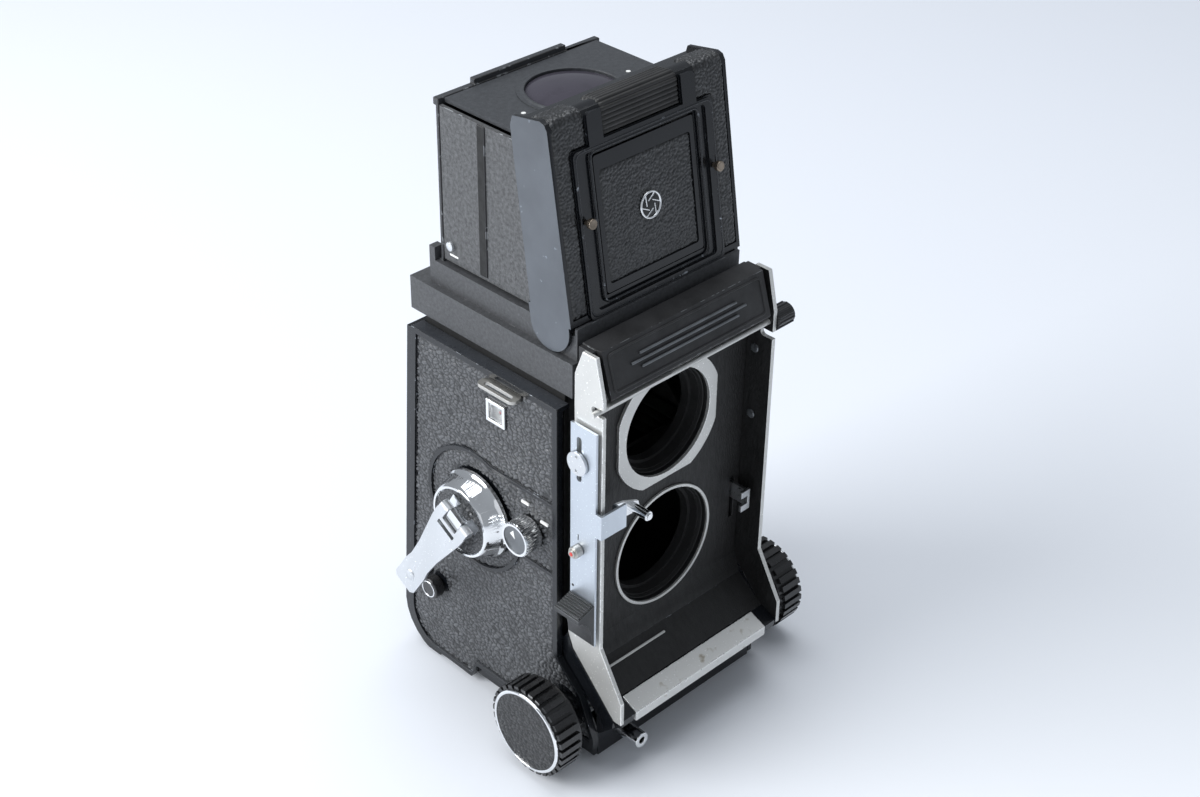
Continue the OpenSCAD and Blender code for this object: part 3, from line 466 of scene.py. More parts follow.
def plate(outline, place, height, rim=0.2, low=0.0):
    """A plate over an outline that turns anticlockwise: its wall rises from low to height and draws in
    along a quarter circle"""
    outline = np.asarray(outline, float)
    edge = np.roll(outline, -1, 0) - np.roll(outline, 1, 0)
    inward = np.stack([-edge[:, 1], edge[:, 0]], -1)
    inward /= np.maximum(np.linalg.norm(inward, axis=1, keepdims=True), 1e-9)
    bend = np.linspace(0, math.pi / 2, 4)
    inset = np.concatenate([[0], rim * (1 - np.cos(bend))])
    rise = np.concatenate([[low], height - rim + rim * np.sin(bend)])
    flat = outline[None] + inset[:, None, None] * inward[None]
    points = place(flat[..., 0].ravel(), flat[..., 1].ravel(), np.repeat(rise, len(outline)))
    count = len(outline)
    faces = grid_faces(len(rise), count, close_columns=True).tolist()
    faces += [list(range(count)), list(range((len(rise) - 1) * count, len(rise) * count))]
    return points, faces


def swept(path, section, up, closed=False):
    """A section of (sideways, up) pairs carried along a path of points; sideways is square to the path and
    to up"""
    path, section = np.asarray(path, float), np.asarray(section, float)
    ahead = np.roll(path, -1, 0) - np.roll(path, 1, 0)
    if not closed:
        ahead[0], ahead[-1] = path[1] - path[0], path[-1] - path[-2]
    side = np.cross(ahead, up)
    side /= np.linalg.norm(side, axis=1, keepdims=True)
    points = path[:, None] + section[None, :, :1] * side[:, None] + section[None, :, 1:] * np.asarray(up,
                                                                                                      float)
    rows, columns = points.shape[:2]
    faces = grid_faces(rows, columns, close_rows=closed, close_columns=True).tolist()
    if not closed:
        faces += [list(range(columns)), list(range((rows - 1) * columns, rows * columns))]
    return points.reshape(-1, 3), faces


def plane_at(origin, across, upwards):
    """A placing function: (a, b, h) goes to origin + a * across + b * upwards + h * their cross product"""
    origin, across, upwards = np.asarray(origin, float), unit(across), unit(upwards)
    out = np.cross(across, upwards)

    def place(a, b, h):
        a, b, h = (np.asarray(v, float)[..., None] for v in np.broadcast_arrays(a, b, h))
        return origin + a * across + b * upwards + h * out

    return place


def facing(side, x):
    """Placing function on the plane x, seen from the left (side 1) or the right (side -1): a is y, b is z"""
    def place(a, b, h):
        a, b, h = np.broadcast_arrays(np.asarray(a, float), b, h)
        return np.stack([x + side * h, a, b], -1)

    return place


def rounded_node(node, finish, rim, slot, edge=None, accents=(), segments=2):
    """A merged copy of a frame node with its sharp edges turned over by rim millimetres; it stands for the
    node.
    An accent is (finish, test), where test takes the faces' centres in millimetres and normals."""
    source = frame["nodes"][node]
    count = len(source.data.vertices)
    points = np.zeros(count * 3)
    source.data.vertices.foreach_get("co", points)
    corners = np.zeros(len(source.data.loops), int)
    source.data.loops.foreach_get("vertex_index", corners)
    mesh = bpy.data.meshes.new(node + "_finished")
    mesh.from_pydata(points.reshape(-1, 3).tolist(), [], corners.reshape(-1, 3).tolist())
    work = bmesh.new()
    work.from_mesh(mesh)
    bmesh.ops.remove_doubles(work, verts=work.verts, dist=2e-6)
    bmesh.ops.dissolve_limit(work, angle_limit=0.008, verts=work.verts, edges=work.edges)
    work.to_mesh(mesh)
    work.free()
    faces = len(mesh.polygons)
    mesh.polygons.foreach_set("use_smooth", np.ones(faces, bool))
    for name in (finish, edge or finish, *[name for name, _ in accents]):
        mesh.materials.append(bpy.data.materials[LOOK + name])
    if accents:
        centres, normals = np.zeros(faces * 3), np.zeros(faces * 3)
        mesh.polygons.foreach_get("center", centres)
        mesh.polygons.foreach_get("normal", normals)
        index = np.zeros(faces, int)
        for k, (_, test) in enumerate(accents):
            index[test(centres.reshape(-1, 3) / MM, normals.reshape(-1, 3))] = k + 2
        mesh.polygons.foreach_set("material_index", index)
    made = bpy.data.objects.new(node + "_finished", mesh)
    bpy.context.scene.collection.objects.link(made)
    bevel = made.modifiers.new("turned edges", "BEVEL")
    bevel.width, bevel.segments = rim * MM, segments
    bevel.limit_method, bevel.angle_limit = "ANGLE", math.radians(28)
    bevel.harden_normals = True
    bevel.material = 1 if edge else -1
    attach(made, source["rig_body"])
    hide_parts(node)
    return made


def face_sides(node, direction):
    """Sides of a node's outermost flat face along a direction: the triangle sides there that no second
    triangle shares,
    as an array of pairs of points in millimetres"""
    mesh = frame["nodes"][node].data
    points = np.zeros(len(mesh.vertices) * 3)
    mesh.vertices.foreach_get("co", points)
    corners = np.zeros(len(mesh.loops), int)
    mesh.loops.foreach_get("vertex_index", corners)
    triangles = points.reshape(-1, 3)[corners].reshape(-1, 3, 3) / MM
    normal = np.cross(triangles[:, 1] - triangles[:, 0], triangles[:, 2] - triangles[:, 0])
    normal /= np.maximum(np.linalg.norm(normal, axis=1, keepdims=True), 1e-12)
    height = triangles.mean(1) @ direction
    facing_out = normal @ direction > 0.999
    top = height[facing_out].max()
    chosen = triangles[facing_out & (height > top - 0.05)]
    sides = np.stack([chosen, np.roll(chosen, -1, 1)], 2).reshape(-1, 2, 3)
    keys = np.round(sides * 200).astype(int)
    keys = np.sort(keys.view([("", int)] * 3).reshape(-1, 2), axis=1)
    _, inverse, counts = np.unique(keys, axis=0, return_inverse=True, return_counts=True)
    return sides[counts[inverse.ravel()] == 1]


def inside_distance(points, sides):
    """Distance from each point to the nearest side of an outline, positive where a line to the right
    crosses it an odd
    number of times"""
    start, end = sides[:, 0], sides[:, 1]
    best, crossings = np.full(len(points), 1e9), np.zeros(len(points), int)
    for a, b in zip(start, end):
        along = b - a
        t = np.clip((points - a) @ along / max(along @ along, 1e-12), 0, 1)
        best = np.minimum(best, np.linalg.norm(points - a - t[:, None] * along, axis=1))
        spans = (a[1] > points[:, 1]) != (b[1] > points[:, 1])
        rise = along[1] if abs(along[1]) > 1e-12 else 1e-12
        crossings += spans & (points[:, 0] < a[0] + (points[:, 1] - a[1]) / rise * along[0])
    return np.where(crossings % 2 == 1, best, -best)


def pebbles(points, size):
    """Leather grain from 0 to 1: seeds stand one to a square of a wandering grid, and the difference
    between the
    distances to the second nearest and nearest seed rises from each crease as a parabola"""
    warped = points / size * (0.85, 1.15) + 0.32 * np.stack([
        np.sin(points[:, 1] / size * 1.9 + 1.3 * np.sin(points[:, 0] / size * 0.7)),
        np.sin(points[:, 0] / size * 1.7 + 1.1 * np.sin(points[:, 1] / size * 0.9))], -1)
    home = np.floor(warped)
    first, second, lift = np.full(len(points), 9.0), np.full(len(points), 9.0), np.zeros(len(points))
    for step in ((i, j) for i in (-1, 0, 1) for j in (-1, 0, 1)):
        cell = home + step
        seed = np.sin(cell @ np.array([[127.1, 269.5], [311.7, 183.3]])) * 43758.5453
        jitter = seed - np.floor(seed)
        distance = np.linalg.norm(cell + jitter - warped, axis=1)
        nearer = distance < first
        second = np.where(nearer, first, np.minimum(second, distance))
        lift = np.where(nearer, jitter[:, 0], lift)
        first = np.minimum(first, distance)
    dome = np.clip((second - first) / 0.8, 0, 1)
    return (1 - (1 - dome) ** 2) * (0.55 + 0.45 * lift)


def leather_skin(name, sides, place, looks, body, top=0.0, sink=0.5, swell=1.0, size=None, finish="leather"):
    """A grid of pebbled leather over an outline: grain on a cushion that falls from top by sink round its
    border,
    following a quarter circle swell millimetres wide; it stops just past the outline, inside the rim or the
    backing"""
    step, size = looks.grain_step / MM, size or looks.grain_size / MM
    low, high = sides.reshape(-1, 2).min(0) - 2 * step, sides.reshape(-1, 2).max(0) + 2 * step
    counts = np.ceil((high - low) / step).astype(int) + 1
    a, b = np.meshgrid(low[0] + np.arange(counts[0]) * step, low[1] + np.arange(counts[1]) * step,
                       indexing="ij")
    flat = np.stack([a.ravel(), b.ravel()], -1)
    depth = inside_distance(flat, sides)
    grain = pebbles(flat, size)
    shoulder = np.clip(depth / swell, 0, 1)
    tall = looks.grain_height / looks.grain_size * size
    height = top - sink * (1 - np.sqrt(1 - (1 - shoulder) ** 2)) + (grain - 1) * tall
    faces = grid_faces(*counts)
    faces = faces[(depth[faces] > -1.2 * step).all(1)]
    used, faces = np.unique(faces, return_inverse=True)
    faces = faces.reshape(-1, 4)
    points = place(flat[used, 0], flat[used, 1], height[used])
    corner = points[faces[0]]
    normal = np.cross(corner[1] - corner[0], corner[3] - corner[0])
    outward = place(flat[used[:1], 0], flat[used[:1], 1], height[used[:1]] + 1)[0] - points[0]
    if normal @ outward < 0:
        faces = faces[:, ::-1]
    # Painted shade: the relief attribute is the grain, dimmed further within swell of the outline where the
    # cushion sinks; the finish darkens the colour where it is low
    relief = grain[used] * (0.55 + 0.45 * np.clip(depth[used] / swell, 0, 1))
    return piece(name, (points, faces), finish, body, "leatherette", solid=False, relief=relief)


def ring_sides(outline):
    """An outline as pairs of points"""
    return np.stack([outline, np.roll(outline, -1, 0)], 1)


COVER_FOOT = np.array([-20.7, 165.9])
COVER_LEAN = math.radians(9.43)
COVER_LENGTH = 65.5
COVER_TURN = 2.9


def on_cover(a, s, h):
    """Placing function on the leaning finder cover: a across, s up the face and then back over its round
    top edge"""
    a, s, h = np.broadcast_arrays(np.asarray(a, float), s, h)
    straight = COVER_LENGTH - COVER_TURN
    angle = np.clip((s - straight) / COVER_TURN, 0, math.pi / 2)
    past = np.maximum(s - straight - COVER_TURN * math.pi / 2, 0)
    inward = COVER_TURN - (COVER_TURN + h) * np.cos(angle) + past
    rise = np.minimum(s, straight) + (COVER_TURN + h) * np.sin(angle)
    y = COVER_FOOT[0] + inward * math.cos(COVER_LEAN) + rise * math.sin(COVER_LEAN)
    z = COVER_FOOT[1] - inward * math.sin(COVER_LEAN) + rise * math.cos(COVER_LEAN)
    return np.stack([a, y, z], -1)


def screw(centre, axis, radius, height=0.6, slotted=True):
    """A domed screw head with a slot, as shapes for head and slot"""
    bend = np.linspace(0, math.pi / 2, 6)
    profile = [(-0.3, 0), (-0.3, radius)] + list(zip(height * np.sin(bend) ** 0.8,
                                                     radius * np.cos(bend) ** 0.45))
    head = turned(profile, centre, axis, 28)
    if not slotted:
        return [head]
    side = unit(np.cross(axis, (0.3, 0.6, 0.74)))
    place = plane_at(np.asarray(centre, float), side, np.cross(unit(axis), side))
    return [head, plate(rectangle(radius * 1.9, radius * 0.3, 0.05), place, height + 0.04, 0.02)]


# ---------------------------------------------------------------- pieces
class TLR_OT_finishes(bpy.types.Operator):
    """Make the leather, enamel, metal and glass finishes"""

    bl_idname = "tlr.finishes"
    bl_label = "Finishes"

    def execute(self, context):
        make_finishes(context.scene.tlr_finishes)
        return {"FINISHED"}


class TLR_OT_body(bpy.types.Operator):
    """Finish the castings, side covers, base and strap lugs of the camera body"""

    bl_idname = "tlr.body"
    bl_label = "Camera body"

    def execute(self, context):
        gloss = dict(finish="enamel", edge="enamel_edge", slot="black_enamel")
        for node in ("side_cover_right", "side_cover_left"):
            # Upward faces of the side covers get a lighter bluish enamel as a painted reflection of the light
            # from above
            rounded_node(node, rim=0.5, accents=[("shelf_painted_reflection", lambda c, n: n[:, 2] > 0.9)], **gloss)
        rounded_node("focusing_bed", rim=0.35, **gloss)
        rounded_node("base_plate", rim=0.5, **gloss)
        for node in ("light_box", "film_gate", "mirror_carrier"):
            rounded_node(node, "flat_black", 0.2, "pressure_black")
        rounded_node("reflex_mirror", "mirror_face", 0.1, "mirror_glass")
        for node, rim in (("tripod_bush", 0.15), ("door_hinge_pin", 0.15)):
            rounded_node(node, "steel", rim, "steel")
        rounded_node("strap_lugs", "nickel", 0.3, "steel")
        rounded_node("accessory_shoe", "chrome", 0.25, "bright_chrome")
        rounded_node("cable_socket", "chrome", 0.3, "bright_chrome", segments=3)
        low, high = span("accessory_shoe")
        middle = (low + high) / 2
        heads = [s for z in (low[2] + 5, high[2] - 6) for s in screw((low[0] + 1.4, middle[1], z), LEFT,
                                                                     1.6, 0.5)]
        piece("shoe_screws", joined(heads), "steel", "camera_body", "steel")
        feet = [s for x in (-32, 32) for y in (-27, 22) for s in screw((x, y, 0.15), -UP, 1.9, 0.5)]
        piece("base_screws", joined(feet), "steel", "camera_body", "steel")
        return {"FINISHED"}


class TLR_OT_side_leather(bpy.types.Operator):
    """Lay pebbled leather into the side covers"""

    bl_idname = "tlr.side_leather"
    bl_label = "Body leather"

    def execute(self, context):
        looks = context.scene.tlr_finishes
        low, high = span("side_leathers")
        for name, side, x in (("leather_right", -1, low[0]), ("leather_left", 1, high[0])):
            sides = face_sides("side_leathers", side * LEFT)[..., 1:]
            made = leather_skin(name, sides, facing(side, x), looks, "camera_body", top=-0.12, sink=0.35)
        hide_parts("side_leathers")
        return {"FINISHED"}


class TLR_OT_back_door(bpy.types.Operator):
    """Finish the film door with its leather and pressure plate"""

    bl_idname = "tlr.back_door"
    bl_label = "Back door"

    def execute(self, context):
        looks = context.scene.tlr_finishes
        rounded_node("back_door", "enamel", 0.45, "black_enamel", edge="enamel_edge")
        rounded_node("pressure_plate", "pressure_enamel", 0.25, "pressure_black")
        corners = span("door_leather")
        sides = ring_sides(rectangle(corners[1][0] - corners[0][0], 107, 3, (0, 75.5)))
        mesh = frame["nodes"]["door_leather"].data
        points = np.array([v.co for v in mesh.vertices]) / MM
        foot = points[points[:, 2] < 25][:, 1].max()
        head = points[points[:, 2] > 125][:, 1].max()
        slope = unit([0, head - foot, 107])
        place = plane_at((0, (head + foot) / 2, 75.5), -LEFT, slope)

        def on_door(a, b, h):
            return place(a, np.asarray(b, float) - 75.5, h)

        made = leather_skin("leather_door", sides, on_door, looks, "door", top=0.1, sink=0.75)
        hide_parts("door_leather")
        return {"FINISHED"}


class TLR_OT_finder(bpy.types.Operator):
    """Finish the finder's base, walls, ground screen and hood cover"""

    bl_idname = "tlr.finder"
    bl_label = "Finder hood"

    def execute(self, context):
        looks, shapes = context.scene.tlr_finishes, context.scene.tlr_shapes
        rounded_node("finder_base", "casting", 0.5, "black_casting", edge="casting_edge")
        rounded_node("hood_rear_wall", "hood_black", 0.4, "hood_paint", edge="casting_edge")
        rounded_node("focusing_screen", "screen_glass", 0.2, "screen_glass")
        top = span("focusing_screen")[1][2]
        place = plane_at((0, 14, top), LEFT, BACK)
        lines = [plate(rectangle(56, 0.22, 0.02, (0, y)), place, 0.06, 0.01) for y in (-21, -7, 7, 21)]
        lines += [plate(rectangle(0.22, 52, 0.02, (x, 0)), place, 0.06, 0.01) for x in (-21, -7, 7, 21)]
        piece("screen_lines", joined(lines), "flat_black", "camera_body", "screen_glass")
        for node, side in (("hood_wall_right", -1), ("hood_wall_left", 1)):
            rib = lambda c, n, s=side: c[:, 0] * s > 35.02
            rounded_node(node, "sand_paint", 0.25, "hood_paint", edge="casting_edge",
                         accents=[("flat_black", rib)])
        skirt = lambda c, n: (np.abs(n[:, 0]) > 0.9) & (np.abs(c[:, 0]) > 37.5)
        rounded_node("hood_cover", "enamel", 0.6, "black_enamel", edge="enamel_edge",
                     accents=[("skirt_paint", skirt)], segments=3)
        rounded_node("finder_pins", "old_brass", 0.5, "brass", segments=3)
        for side in (-1, 1):
            outline = np.array([(30.35, 2.15), (36.45, 2.15), (36.45, 73), (23.55, 73), (23.55, 54.1),
                                (30.35, 54.1)])
            strip = ring_sides(filleted(outline, 1.2)[::-1 if side < 0 else 1] * (side, 1))
            # The cover strips take the leather darkened by half as painted shade
            made = leather_skin(f"cover_strip_{'right' if side < 0 else 'left'}", strip, on_cover, looks,
                                "camera_body", top=0.5, sink=0.85, swell=1.1, size=1.25,
                                finish="shaded_hood_leather")
        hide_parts("cover_leather")
        bead = shapes.bead / MM
        section = circle(bead / 2, 12) * (1, 0.9)
        # The beads take the edge finish whole: worn spots, and a painted highlight along their lines
        for name, outline in (("bead_window", rectangle(46.5, 48.5, 2.5, (0, 27.6))),
                              ("bead_frame", rectangle(58.6, 52.4, 3, (0, 26.8)))):
            path = on_cover(outline[:, 0], outline[:, 1], 0.72)
            up = on_cover(0, 10, 1) - on_cover(0, 10, 0)
            piece(name, swept(path, section, up, closed=True), "enamel_edge", "camera_body", "black_enamel")
        return {"FINISHED"}


class TLR_OT_grip(bpy.types.Operator):
    """Make the fine ribbed grip that wraps over the cover's top edge"""

    bl_idname = "tlr.grip"
    bl_label = "Ribbed grip"

    def execute(self, context):
        ribs = context.scene.tlr_shapes.grip_ribs
        a, s = np.meshgrid(np.linspace(-16.5, 16.5, 60), np.linspace(54.9, 72.5, ribs * 10 + 1),
                           indexing="ij")
        phase = (s - 54.9) / (72.5 - 54.9) * ribs
        wave = np.abs(np.sin(phase * math.pi)) ** 0.6
        border = np.clip(np.minimum(16.5 - np.abs(a), np.minimum(s - 54.9, 72.5 - s)) / 0.8, 0, 1)
        height = -0.6 + border ** 0.5 * (0.55 + 0.55 * wave)
        points = on_cover(a.ravel(), s.ravel(), height.ravel())
        made = piece("grip_ribs", (points, grid_faces(*a.shape)[:, ::-1]), "rib_rubber", "camera_body",
                     "black_plastic", solid=False)
        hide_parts("ribbed_grip")
        return {"FINISHED"}


class TLR_OT_flap(bpy.types.Operator):
    """Finish the sports finder flap with its leather field and a plain round badge"""

    bl_idname = "tlr.flap"
    bl_label = "Sports finder flap"

    def execute(self, context):
        looks = context.scene.tlr_finishes
        rounded_node("finder_flap", "enamel", 0.45, "black_enamel", edge="enamel_edge", segments=3)
        sides = ring_sides(rectangle(39.2, 36.6, 1.2, (0, 26.6)))
        face = -0.05
        # The flap's leather is the side leather darkened by half as painted shade
        made = leather_skin("leather_flap", sides, on_cover, looks, "sports_flap", top=face + 0.1, sink=0.5,
                            swell=0.9, size=1.25, finish="shaded_hood_leather")
        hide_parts("flap_leather")

        def on_badge(a, b, h):
            return on_cover(a, np.asarray(b, float) + 27.5, np.asarray(h, float) + face)

        up = on_cover(0, 10, 1) - on_cover(0, 10, 0)
        path = on_badge(*(circle(4.2, 60).T), 0.25)
        blades = [swept(on_badge(*np.array([[3.9 * math.cos(t), 3.9 * math.sin(t)],
                                            [1.7 * math.cos(t + 1.1), 1.7 * math.sin(t + 1.1)]]).T, 0.25),
                        circle(0.22, 8), up) for t in np.arange(6) * math.pi / 3]
        ring = swept(path, circle(0.4, 10), up, closed=True)
        piece("flap_badge", joined([ring, *blades]), "chrome", "sports_flap", "bright_chrome")
        piece("flap_badge_field", plate(circle(4.4), on_badge, 0.18, 0.1, low=-0.6), "enamel", "sports_flap",
              "black_enamel")
        return {"FINISHED"}


class TLR_OT_magnifier(bpy.types.Operator):
    """Finish the magnifier plate with its domed lens, ring and marks"""

    bl_idname = "tlr.magnifier"
    bl_label = "Magnifier"

    def execute(self, context):
        rounded_node("magnifier_plate", "hood_black", 0.3, "hood_paint", edge="casting_edge")
        low, high = span("magnifier_lens")
        centre, radius, top = (low + high) / 2, (high[0] - low[0]) / 2, high[2]
        across = np.linspace(1, 0, 18)
        rise = (top - low[2]) * (1 - across ** 2 * 0.62) - (top - low[2])
        profile = [(low[2] - top, 0), (low[2] - top, radius)] + list(zip(rise, radius * across))
        lens = piece("magnifier_glass", turned(profile, (0, centre[1], top), UP, 96), "lens_glass",
                     "magnifier",
                     "lens_glass")
        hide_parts("magnifier_lens")
        face = span("magnifier_plate")[1][2] - 0.4
        rim = filleted([(0, radius + 0.15), (0.75, radius + 0.2), (0.75, radius + 1.0), (0.35, radius + 1.5),
                        (0.30, radius + 2.6), (0, radius + 2.7)], 0.2, 3)
        piece("magnifier_rim", turned(np.vstack([rim, rim[:1]]), (0, centre[1], face), UP, 96), "hood_black",
              "magnifier", "hood_paint")
        dots = [turned([(0, 0), (0.08, 0.001), (0.08, 0.75), (-0.1, 0.8), (-0.1, 0)], (x, 16.3, face), UP, 24)
                for x in (-22.5, 22.5)]
        piece("magnifier_dots", joined(dots), "white_paint", "magnifier", "dial_white")
        stud = turned([(-0.2, 0), (-0.2, 1.6), (0.4, 1.75), (1.0, 1.5), (1.25, 0.9), (1.3, 0)],
                      (-34.8, 37.6, 170.2),
                      -LEFT, 32)
        piece("hood_stud", stud, "arm_satin", "hood_side_right", "satin_silver")
        mark = plate(rectangle(4, 0.7, 0.2), plane_at((-34.85, 36.3, 167.0), -BACK, UP), 0.08, 0.03)
        piece("hood_mark", mark, "white_paint", "hood_side_right", "dial_white")
        knob = turned([(-0.3, 0), (-0.3, 0.8), (1.0, 0.8), (1.2, 1.4), (1.9, 1.5), (2.2, 1.1), (2.3, 0)],
                      (34.8, 22.7, 215.4), LEFT, 28)
        piece("hood_catch", knob, "grey_metal", "hood_side_left", "steel")
        return {"FINISHED"}


class TLR_OT_crank(bpy.types.Operator):
    """Finish the wind crank: chrome flare, leather face, satin arm and its rivet"""

    bl_idname = "tlr.crank"
    bl_label = "Wind crank"

    def execute(self, context):
        looks = context.scene.tlr_finishes
        rounded_node("crank_hub", "chrome", 0.22, "bright_chrome", segments=3)
        rounded_node("crank_gear", "brass", 0.1, "brass")
        rounded_node("crank_arm", "arm_satin", 0.3, "satin_silver", segments=3)
        rounded_node("crank_grip", "knob_plastic", 0.5, "black_plastic", segments=3)
        swing = math.radians(8)
        pivot, down = np.array([-54.6, 16.45, 83.3]), unit([0, 0.51, -0.86])
        along = math.cos(swing) * down - math.sin(swing) * LEFT
        out = -math.cos(swing) * LEFT - math.sin(swing) * down
        rivet = turned([(-0.5, 0), (-0.5, 2.0), (0.25, 2.0), (0.45, 1.7), (0.45, 0)],
                       pivot + 35 * along + 1.75 * out,
                       out, 32)
        piece("arm_rivet", rivet, "arm_satin", "crank_handle", "satin_silver")
        sides = ring_sides(circle(12.3, 60, (19, 79)))
        leather_skin("leather_crank", sides, facing(-1, -50.55), looks, "crank", top=0.45, sink=0.6,
                     swell=0.7,
                     size=1.25)
        return {"FINISHED"}


class TLR_OT_knobs(bpy.types.Operator):
    """Finish the exposure selector and the spool knobs"""

    bl_idname = "tlr.knobs"
    bl_label = "Selector and spool knobs"

    def execute(self, context):
        rounded_node("multi_knob", "chrome", 0.12, "bright_chrome")
        face = facing(-1, -49.5)
        piece("selector_face", plate(circle(5.05, 48, (-7, 85)), face, 0.14, 0.05, -0.1), "grey_metal",
              "exposure_knob", "black_enamel")
        arrow = np.array([(-4.6, 86.6), (-6.2, 88.4), (-7.0, 85.2)])
        piece("selector_arrow", plate(filleted(arrow, 0.2), face, 0.22, 0.04), "white_paint", "exposure_knob",
              "dial_white")
        labels = [plate(rectangle(w, 1.0, 0.25, at), facing(-1, -42.75), 0.25, 0.05, -0.3)
                  for w, at in ((3.6, (-4.6, 95.2)), (3.6, (-13.6, 91.6)))]
        piece("selector_labels", joined(labels), "white_paint", "camera_body", "dial_white")
        for node in ("pull_knob_right", "pull_knob_lower", "pull_knob_upper"):
            rounded_node(node, "knob_plastic", 0.6, "black_plastic", segments=3)
        for node, body, side in (("pull_knob_right", "stud_knob", -1),
                                 ("pull_knob_lower", "lower_spool_knob", 1),
                                 ("pull_knob_upper", "upper_spool_knob", 1)):
            low, high = span(node)
            centre, radius = (low + high) / 2, (high[1] - low[1]) / 2
            centre[0] = high[0] if side > 0 else low[0]
            cap = filleted([(-0.6, radius * 0.66), (-0.6, radius * 0.78), (0.3, radius * 0.78),
                            (0.3, radius * 0.66)],
                           0.25, 3)
            piece(node + "_cap", turned(np.vstack([cap, cap[:1]]), centre, side * LEFT, 48), "chrome", body,
                  "bright_chrome")
        return {"FINISHED"}


class TLR_OT_counter(bpy.types.Operator):
    """Finish the frame counter: chrome window, glass and marked wheel"""

    bl_idname = "tlr.counter"
    bl_label = "Frame counter"

    def execute(self, context):
        rounded_node("counter_frame", "chrome", 0.3, "bright_chrome")
        rounded_node("counter_glass", "window_glass", 0.1, "lens_glass")
        rounded_node("counter_dial", "dial_white", 0.1, "dial_white")
        centre = np.array([9.2, 112.0])
        face = facing(-1, span("counter_dial")[0][0])
        marks = []
        for k in range(context.scene.tlr_shapes.dial_marks):
            turn = 2 * math.pi * k / context.scene.tlr_shapes.dial_marks
            out = np.array([math.sin(turn), math.cos(turn)])
            side = np.array([out[1], -out[0]])
            length = 2.2 if k % 3 == 0 else 1.2
            bar = [centre + out * (12 - length * i) + side * 0.13 * j for i,
                   j in ((0, -1), (0, 1), (1, 1), (1, -1))]
            marks.append(plate(np.array(bar)[::-1], face, 0.05, 0.01))
        piece("counter_marks", joined(marks), "flat_black", "counter_wheel", "black_enamel")
        piece("counter_start", plate(circle(0.55, 20, centre + (0.0, 10.6)), face, 0.09, 0.02), "red_paint",
              "counter_wheel", "dial_white")
        return {"FINISHED"}


class TLR_OT_standard(bpy.types.Operator):
    """Finish the front standard: back plate, cheeks, floor, lower bar and lens rings"""

    bl_idname = "tlr.standard"
    bl_label = "Front standard"

    def execute(self, context):
        rounded_node("standard_plate", "wrinkle_leather", 0.25, "standard_leather")
        for node, side in (("cheek_right", -1), ("cheek_left", 1)):
            lining = lambda c, n, s=side: n[:, 0] * s < -0.9
            rounded_node(node, "satin_silver", 0.28, "satin_silver", edge="silver_edge",
                         accents=[("wrinkle_leather", lining)])
        floor = lambda c, n: (np.abs(c[:, 0]) < 38) & (n[:, 2] > 0.3) & (c[:, 2] > 26.8)
        rounded_node("standard_base", "enamel", 0.5, "black_enamel", edge="enamel_edge",
                     accents=[("wrinkle_leather", floor)])
        rounded_node("lower_bar", "bar_aluminium", 0.35, "bar_aluminium", edge="silver_edge")
        rounded_node("viewing_ring", "satin_silver", 0.2, "satin_silver", edge="silver_edge")
        rounded_node("taking_ring", "satin_silver", 0.18, "satin_silver")
        rounded_node("guide_screw", "arm_satin", 0.25, "satin_silver", segments=3)
        slope = unit([0, -11.2, -8.8])
        strip = plate(rectangle(27, 0.9, 0.4), plane_at((-17, -31.8, 34.8), LEFT, -slope), 0.75, 0.25, -0.4)
        piece("floor_strip", strip, "satin_silver", "front_standard", "satin_silver")
        inner = span("cheek_left")[0][0]
        heads = [s for z in (131, 105) for s in screw((inner, -29.5, z), -LEFT, 1.7, 0.5)]
        heads += [s for z in (131, 105) for s in screw((-inner, -29.5, z), LEFT, 1.7, 0.5)]
        piece("cheek_screws", joined(heads), "grey_metal", "front_standard", "steel")
        liners = []
        for z, radius in ((67.8, 21.4), (117.8, 19.3)):
            wall = [(0.0, radius), (1.4, radius), (1.4, radius - 1.0), (4.5, radius - 1.4),
                    (4.5, radius - 2.6),
                    (7.5, radius - 2.9), (7.5, radius - 2.2), (0.2, radius - 0.3)]
            liners.append(turned(np.array(wall + wall[:1]), (0, -24.6, z), BACK, 96))
        piece("lens_wells", joined(liners), "flat_black", "front_standard", "standard_leather")
        return {"FINISHED"}


class TLR_OT_nameplate(bpy.types.Operator):
    """Finish the sloping nameplate, with plain raised bars in its field"""

    bl_idname = "tlr.nameplate"
    bl_label = "Nameplate"

    def execute(self, context):
        rounded_node("nameplate", "rubber", 0.8, "black_plastic", edge="casting_edge", segments=3)
        lean = math.radians(17)
        place = plane_at((0, -34.5, 154.8), LEFT, (0, math.sin(lean), math.cos(lean)))
        bars = [plate(rectangle(width, 0.8, 0.3, (0, up)), place, 0.85, 0.25, -0.3)
                for width, up in ((44, -2.2), (52, 0.0), (44, 2.2))]
        piece("nameplate_bars", joined(bars), "grey_metal", "front_standard", "black_plastic")
        up = place(0, 0, 1) - place(0, 0, 0)
        path = place(*rectangle(68.6, 12.4, 1.5).T, 0.15)
        piece("nameplate_bead", swept(path, circle(0.42, 10), up, closed=True), "rubber", "front_standard",
              "black_plastic")
        return {"FINISHED"}


